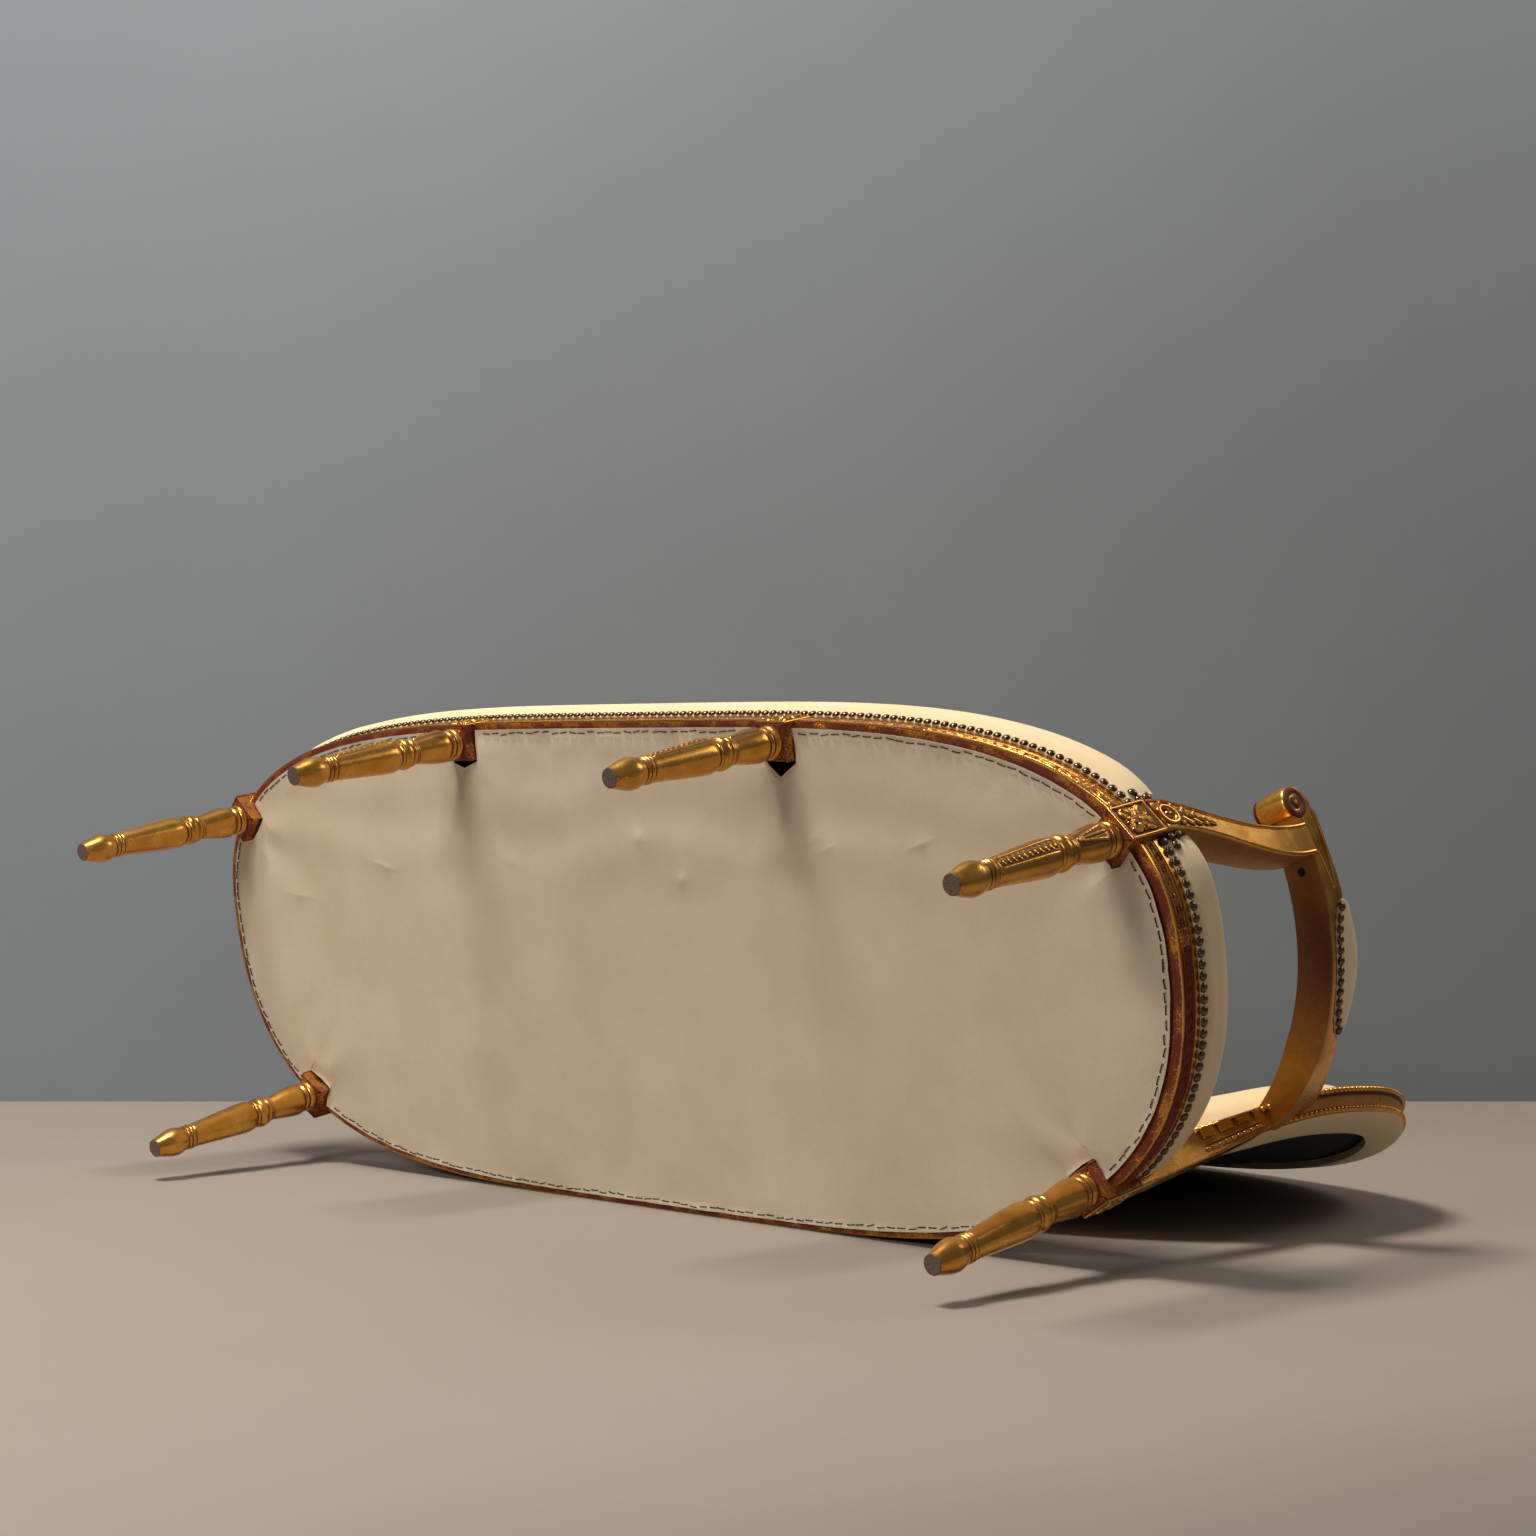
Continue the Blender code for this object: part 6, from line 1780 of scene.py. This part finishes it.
@dataclass
class OvalBack:
    """The oval back: moulded ring with bead rows, crowned pad, rear band and near-black sheet,
    stiles.
    """

    finishes: Finishes
    half_length: float = 0.755
    top: float = 1.090
    bottom: float = 0.425
    power: float = 2.65
    lean: float = 0.224
    curve: float = 0.122
    curve_power: float = 4.6
    rear_y: float = 0.379172
    stile_width: float = 24 * MM
    stile_depth: float = 18 * MM
    # Section of the ring as (inset, depth) in millimetres: from the rear inner edge outward,
    # round the bole side, over the front and back in
    section: Profile = (
        (50, 0), (26, 0), (4.5, 0), (3.6, 0.3), (3.0, 0.9), (2.2, 1.3), (2.0, 3.0), (2.8, 5.6),
        (3.4, 6.4), (3.0, 9.0), (2.6, 14), (2.7, 19), (3.2, 23.4), (3.4, 24.4), (2.4, 25.4),
        (1.4, 27.0), (1.4, 29.6), (2.2, 31.2), (3.6, 32.3), (5.2, 32.6), (6.8, 31.8), (7.6, 30.4),
        (8.6, 29.6), (10.4, 29.6), (11.4, 30.6), (13.0, 32.0), (15.4, 33.0), (18.4, 33.4),
        (21.4, 33.0), (23.8, 32.0), (25.2, 30.8), (26.0, 29.8), (27.4, 29.8), (28.2, 31.0),
        (29.6, 31.8), (31.0, 31.0), (31.8, 30.0), (33.6, 29.8), (34.0, 27.8), (50, 27.8))
    # Profile of the pad, in the same measures, from the hem to the crown
    pad_profile: Profile = (
        (50.3, 14.5), (50.3, 28.3), (34.4, 28.3), (34.3, 30.6), (36.0, 31.2), (41.0, 31.8),
        (45.5, 33.4), (48.5, 38.5), (51.5, 46.0), (56.0, 54.5), (64.0, 63.0), (76.0, 70.5),
        (94.0, 76.5), (118.0, 80.6), (150, 83.2))
    # Section of the cloth band on the ring's rear, in the same measures
    band: Profile = (
        (3.2, -0.2), (3.0, -1.0), (3.8, -1.7), (12, -1.9), (30, -1.9), (48.0, -1.8), (50.2, -1.2),
        (50.4, 2.0), (50.4, 8.0), (49.9, 8.0), (49.8, 0.4), (26, -0.25))

    @cached_property
    def moulding(self) -> Shell:
        """Mesh of the ring."""
        return Shell("moulded_back_ring")

    @property
    def half_height(self) -> float:
        """Half of the oval's height."""
        return (self.top - self.bottom) / 2

    def rear(self, x: Array, z: Array) -> Array:
        """Depth of the rear face: it leans back with height and curves forward at the ends."""
        return (self.rear_y - self.lean * (self.top - z)
                - self.curve * np.abs(x / self.half_length) ** self.curve_power)

    def units(self, count: int) -> Array:
        """Unit coordinates evenly spaced round |x|^p + |z|^p = 1, crest first, clockwise.

        Args:
            count: How many.

        Returns:
            Array of shape (count, 2).
        """
        turn = np.linspace(0, 2 * math.pi, 2881)
        cosine, sine = np.cos(turn), np.sin(turn)
        reach = (np.abs(cosine / self.half_height) ** self.power
                 + np.abs(sine / self.half_length) ** self.power) ** (-1 / self.power)
        units = np.stack([reach * sine / self.half_length, reach * cosine / self.half_height], 1)
        moves = np.diff(units * (self.half_length, self.half_height), axis=0)
        steps = np.linalg.norm(moves, axis=1)
        length = np.concatenate([[0], np.cumsum(steps)])
        spots = np.linspace(0, length[-1], count + 1)[:-1]
        return np.stack([np.interp(spots, length, units[:, k]) for k in (0, 1)], 1)

    def point(self, units: Array, inset: float, depth: float, share: float = 1.0) -> Array:
        """Points of the back at an inset from its edge and a depth in front of its rear face.

        Args:
            units: Unit coordinates, last axis of two.
            inset: Distance in from the edge, in millimetres.
            depth: Distance forward of the rear face, in millimetres.
            share: Share of the outline, drawn in to the middle.

        Returns:
            Points, last axis of three.
        """
        x = units[..., 0] * (self.half_length - inset * MM) * share
        z = ((self.top + self.bottom) / 2
             + units[..., 1] * (self.half_height - inset * MM) * share)
        return np.stack([x, self.rear(x, z) - depth * MM, z + 0 * x], -1)

    def ring(self) -> None:
        """Build the ring: the moulded section carried round the oval, beads and a ribbon."""
        units = self.units(640)
        surface = np.stack([self.point(units, *mark) for mark in self.section], 1)
        rub, tone = np.full(len(self.section), 0.08), np.zeros(len(self.section))
        # The rear is bare bole; the side and the outer bead are rubbed
        rub[:3], rub[3:8], rub[8:14], rub[14:20] = 0.9, 0.30, 0.36, 0.28
        tone[[6, 7, 12, 13, 14, 22, 23, 31, 32, 36, 37]] = -0.24
        tone[8:12] = -0.13
        self.moulding.grid(surface, rub, tone, ring=True)
        self._beads((1.2, 28.0), 3.9 * MM, 8.4 * MM, 0.25)
        self._beads((1.8, 4.2), 3.5 * MM, 7.6 * MM, -0.15)
        self._ribbon()
        self.moulding.make(self.finishes.gilding, "gilt_wood", [
            "back_crest_rail", "back_lower_rail", "back_side_left", "back_side_right"])

    def _frames(self, count: int, inset: float, depth: float) -> tuple[Array, ...]:
        """Places for small forms round the ring.

        Args:
            count: How many.
            inset: Distance in from the edge, in millimetres.
            depth: Distance forward of the rear face, in millimetres.

        Returns:
            Points, and their outward, onward and front directions, the last square to onward.
        """
        units = self.units(count)
        here = self.point(units, inset, depth)
        on = unit(np.roll(here, -1, 0) - np.roll(here, 1, 0))
        out = unit(here - self.point(units, inset + 1, depth))
        return here, out, on, unit(FRONT - on * (FRONT * on).sum(-1, keepdims=True))

    def _round(self, pitch: float, factor: float) -> int:
        """Count of pieces at a pitch round the ring, whose length is a factor of its box."""
        return int(2 * (self.half_length + self.half_height) * factor / pitch)

    def _beads(self, mark: tuple[float, float], radius: float, pitch: float, lean: float) -> None:
        """Add a row of beads on the ring's side.

        Args:
            mark: Inset and depth of the row in millimetres.
            radius: Radius of a bead.
            pitch: Distance from bead to bead.
            lean: Tilt from outward towards the front.
        """
        here, out, on, _ = self._frames(self._round(pitch, 1.66), *mark)
        normal = unit(out + FRONT * lean)
        points, quads, triangles = dome(8)
        self.moulding.copies((points * radius, quads, triangles), here - normal * 0.3 * radius,
                             axes_from(normal, on), 0.45 * np.clip(points[:, 2], 0, 1) - 0.15)

    def _ribbon(self) -> None:
        """Add a twisted ribbon on the ring's front: short lozenges that lean and overlap."""
        here, out, on, normal = self._frames(300, 18.4, 33.2)
        points, quads, triangles = dome()
        sized = points * (6.6 * MM, 2.7 * MM, 2.3 * MM)
        self.moulding.copies((sized, quads, triangles), here - normal * 0.6 * MM,
                             axes_from(normal, unit(on + 0.75 * out)),
                             0.5 * np.clip(points[:, 2], 0, 1) - 0.15, 0.1)

    def pad(self) -> None:
        """Build the inside back: rings from the hem to the crown, deepest in the middle."""
        units = self.units(300)
        inset, depth = self.pad_profile[-1]
        rings = [self.point(units, *self.pad_profile[0], 0.75)]
        rings += [self.point(units, *mark) for mark in self.pad_profile]
        rings += [self.point(units, inset, depth + (86 - depth) * (1 - share), share)
                  for share in (0.88, 0.75, 0.6, 0.44, 0.28, 0.12)]
        surface = np.array(rings)[:, ::-1]
        shell = Shell("stuffed_back")
        shell.grid(surface)
        piece = shell.make(self.finishes.cover, "cream_cover", ["back_pad"], None)
        held = np.zeros(surface.shape[:2])
        held[:8], held[8] = 1.0, 0.6
        swell(piece, np.append(held.reshape(-1), (1.0, 0.0)), 4 * MM)

    def nails(self) -> None:
        """Set the nails round the inside back."""
        here, _, on, normal = self._frames(self._round(11.7 * MM, 1.52), 40.2, 31.4)
        NailRow(self.finishes, "back_nail_heads").make(here, normal, on, "back_nails")

    def rear_cloths(self) -> None:
        """Build the pale band on the ring's rear face and a near-black sheet set in the oval."""
        units = self.units(480)
        shell = Shell("rear_cloth_band")
        shell.grid(np.stack([self.point(units, *mark) for mark in self.band[::-1]], 1), ring=True)
        band = shell.make(self.finishes.cover, "cream_cover",
                          ["outside_back_band_upper", "outside_back_band_lower"], 50.0)
        shares = np.linspace(0.04, 1.0, 25)
        marks = [(s, 9.0 + s ** 3) for s in shares] + [(s, 10.9) for s in shares[::-1]]
        lining = Shell("rear_lining")
        lining.grid(np.array([self.point(units, 50.4, d, s) for s, d in marks])[:, ::-1])
        cloth = lining.make(self.finishes.lining, "lining", ["outside_back_lining"], 50.0)
        midline = self.point(units, 26.5, 0.0)

    def stile_at(self, share: Array) -> tuple[Array, Array, Array]:
        """Course of the right stile, which tapers both ways.

        Args:
            share: Height shares from 0 to 1.

        Returns:
            Middles, half widths and half depths.
        """
        post = Post.REAR_RIGHT
        wide = np.interp(share, (0.0, 0.30, 0.60, 1.0), (1.0, 0.76, 0.74, 0.74)) * self.stile_width
        deep = np.interp(share, (0.0, 0.30, 0.60, 1.0), (1.0, 1.0, 0.97, 0.76)) * self.stile_depth
        height = LEVEL.corner_top + (LEVEL.arm_low - LEVEL.corner_top) * share
        middle = post.centre + post.outward * (LEVEL.block_half - self.stile_depth)
        return middle + height[:, None] * UP, wide, deep

    def stile(self, side: Side) -> None:
        """Build one rear stile with its carved upper panel.

        The panel is a frame line round a row of teeth, a rib and a row of balls.

        Args:
            side: Which stile.
        """
        post = Post.REAR_RIGHT
        middle, wide, deep = (part[:, None] for part in self.stile_at(np.linspace(0, 1, 40)))
        ring = eased_square(0.09)
        surface = (middle + (ring[:, 0] * deep)[..., None] * post.outward
                   + (ring[:, 1] * wide)[..., None] * post.onward)
        shell = Shell(f"carved_stile_{side.title}")
        shell.grid(side.turned(surface), 0.06, 0.0)
        share = np.linspace(0.50, 0.93, 110)
        middle, wide, deep = (part[:, None] for part in self.stile_at(share))
        across = np.linspace(-1, 1, 41)[None]
        front = (middle + (wide - 0.2 * MM)[..., None] * post.onward
                 + (across * (deep * 0.95))[..., None] * post.outward)
        run = ((share - share[0]) / (share[-1] - share[0]))[:, None]
        tooth = ease(bump(np.mod(run * 3.4, 1.0), 0.5, 0.36), 0.2, 0.5) * ease(-across, 0.20, 0.28)
        ball = bump(np.mod(run * 9, 1.0), 0.5, 0.46) * bump(across, 0.52, 0.17)
        rib = bump(across, 0.16, 0.10)
        line = bump(np.abs(across), 0.93, 0.07)
        tall = 4.8 * tooth
        for height, form in ((3.8, ball), (2.4, rib), (2.8, line)):
            tall = np.maximum(tall, height * form)
        tall = ease(np.minimum(run, 1 - run), 0.0, 0.02) * MM * tall
        normal = np.broadcast_to(post.onward, front.shape)
        shell.plate(*(side.turned(grid) for grid in (front, normal, tall)), 1 * MM, 0.05)
        shell.make(self.finishes.gilding, "gilt_wood", [f"back_stile_{side.title}"])

    def make(self) -> None:
        """Build the back and both stiles."""
        for build in (self.ring, self.pad, self.nails, self.rear_cloths):
            build()
        for side in Side:
            self.stile(side)


# --- Hidden parts


@dataclass
class InnerWork:
    """Straps, springs, cloths, blocks and screws that stay as solids and get their finish."""

    finishes: Finishes

    def dress(self) -> None:
        """Give each kept solid the material of what it is made of; jute and beech are near-black
        painted shade.
        """
        jute, steel, wood = self.finishes.jute, self.finishes.steel, self.finishes.inner_wood
        by_word = {"webbing": jute, "hessian": jute, "spring": steel, "screw": steel,
                   "dowel": wood, "glue_block": wood}
        for name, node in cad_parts.items():
            for word, material in by_word.items():
                if word in name:
                    node.data.materials.clear()
                    node.data.materials.append(material)
                    LOG.info("%s: %s", name, material.name)


# --- Studio


def stand(thing: Thing, right: Array, up: Array, back: Array, place: Sequence[float]) -> None:
    """Set an object's directions and its place.

    Args:
        thing: The object.
        right: Direction of its x.
        up: Direction of its y.
        back: Direction of its z.
        place: Its place.
    """
    matrix = np.eye(4)
    matrix[:3] = np.stack([right, up, back, place], 1)
    thing.matrix_world = Matrix(matrix.tolist())


@dataclass
class Studio:
    """Camera, floor, backdrop and lamps.

    The sofa stands on its feet here; the camera sees its underside, with the front on top.
    """

    focal: float = 71.37
    place: Triple = (2.788, -0.7366, -2.3494)
    right: Triple = (0.7266, 0.1055, 0.6789)
    down: Triple = (0.0023, 0.9878, -0.1560)
    floor_normal: Triple = (0.0, -0.9881, 0.1535)
    floor_point: Triple = (0.0, 0.263, 0.29)
    wall_distance: float = 5.16
    room_half: float = 8.0
    floor_colour: str = "#999087"
    wall_colour: str = "#7c8389"

    def camera(self) -> Array:
        """Add the camera from its measured place, right and down directions.

        Returns:
            The direction that it looks in.
        """
        right = unit(np.array(self.right))
        down = np.array(self.down)
        down = unit(down - right * (down @ right))
        ahead = np.cross(right, down)
        data = bpy.data.cameras.new("view")
        data.lens, data.sensor_width, data.clip_end = self.focal, 36.0, 60.0
        bpy.context.scene.camera = put("view", data)
        stand(bpy.context.scene.camera, right, -down, -ahead, self.place)
        return ahead

    @staticmethod
    def sheet(name: str, middle: Array, normal: Array, half: float, shade: str) -> Thing:
        """Add a large plain plane that shows only from its front.

        Args:
            name: Object name.
            middle: Middle point.
            normal: Direction that it faces.
            half: Half of its side.
            shade: sRGB hex colour of its matt paint, a little darker in places.

        Returns:
            The plane.
        """
        normal = unit(np.asarray(normal, float))
        side = unit(np.cross(normal, (0.3, 0.2, 0.9)))
        other = np.cross(normal, side)
        points = [tuple(np.asarray(middle) + half * (a * side + b * other))
                  for a, b in ((-1, -1), (1, -1), (1, 1), (-1, 1))]
        mesh = bpy.data.meshes.new(name)
        mesh.from_pydata(points, [], [(0, 1, 2, 3)])
        material, shader, add, spot = blank(name + "_paint")
        cloud = add("TexNoise", {"Vector": spot, "Scale": 1.2, "Detail": 5.0, "Roughness": 0.6})
        dark = tuple(c * 0.94 for c in colour(shade)[:3]) + (1.0,)
        tone = add("ValToRGB", {0: (cloud, 0)}, ((0.3, dark), (0.7, colour(shade))))
        plug(shader, {"Base Color": (tone, 0), "Roughness": 0.85, "Specular IOR Level": 0.2})
        both = add("MixShader", {0: (add("NewGeometry"), "Backfacing"), 1: (shader, 0),
                                 2: (add("BsdfTransparent"), 0)})
        plug(material.node_tree.nodes["Material Output"], {"Surface": (both, 0)})
        mesh.materials.append(material)
        plane = put(name, mesh)
        return plane

    @staticmethod
    def lamp(name: str, place: Triple, target: Triple, size: float, power: float,
             tint: str) -> None:
        """Add a square area lamp aimed at a point.

        Args:
            name: Object name.
            place: Where it stands.
            target: Point that it faces.
            size: Side of the square.
            power: Watts.
            tint: sRGB hex colour.
        """
        data = bpy.data.lights.new(name, "AREA")
        data.shape, data.size, data.energy = "SQUARE", size, power
        data.color = colour(tint)[:3]
        back = unit(np.subtract(place, target))
        side = unit(np.cross((0.1, 0.2, 1.0), back))
        stand(put(name, data), side, np.cross(back, side), back, place)

    def make(self) -> None:
        """Set up the whole studio."""
        ahead = self.camera()
        self.sheet("studio_floor", self.floor_point, self.floor_normal, self.room_half,
                   self.floor_colour)
        middle = np.array(self.place) + ahead * self.wall_distance
        self.sheet("studio_wall", middle, -ahead, self.room_half, self.wall_colour)
        under = self.sheet("studio_ground", -0.001 * UP, UP, self.room_half, self.floor_colour)
        for kind in ("visible_shadow", "visible_diffuse", "visible_glossy", "visible_transmission"):
            setattr(under, kind, False)
        # A black card over the near end keeps the front fill off the floor there
        flag = self.sheet("studio_flag", (0.54 + 2.6, -2.2, -1.0), -FRONT, 2.6, "#202020")
        flag.visible_glossy = flag.visible_diffuse = flag.visible_camera = False
        self.lamp("key", (-0.5, -4.6, -0.1), (-0.1, -0.1, 0.35), 1.2, 238, "#fff6ec")
        self.lamp("front_fill", (0.5, -3.3, -4.4), (-0.1, 0.0, 0.3), 1.3, 186, "#fbf6f0")
        self.lamp("side_fill", (1.7, -1.9, 2.9), (0.6, 0.2, 0.6), 1.3, 22, "#fff4e4")
        world = bpy.data.worlds.new("studio_air")
        world.use_nodes = True
        plug(world.node_tree.nodes["Background"], {"Color": colour("#b9bcbd"), "Strength": 0.24})
        bpy.context.scene.world = world
        bpy.context.scene.view_settings.view_transform = "Standard"


def main() -> None:
    """Build the dressed sofa and its studio."""
    logging.basicConfig(level=logging.INFO, format="%(message)s")
    finishes = Finishes()
    Studio().make()
    for post in Post:
        TurnedLeg(finishes, post).make()
    for name, run in (("front_rail", "front"), ("side_rail_left", "left"), ("rear_rail", "rear"),
                      ("side_rail_right", "right")):
        SeatRail(finishes, name, *RUNS[run]).make()
    SeatUpholstery(finishes).make()
    for side in Side:
        Arm(finishes, side).make()
    OvalBack(finishes).make()
    InnerWork(finishes).dress()


if __name__ == "__main__":
    main()
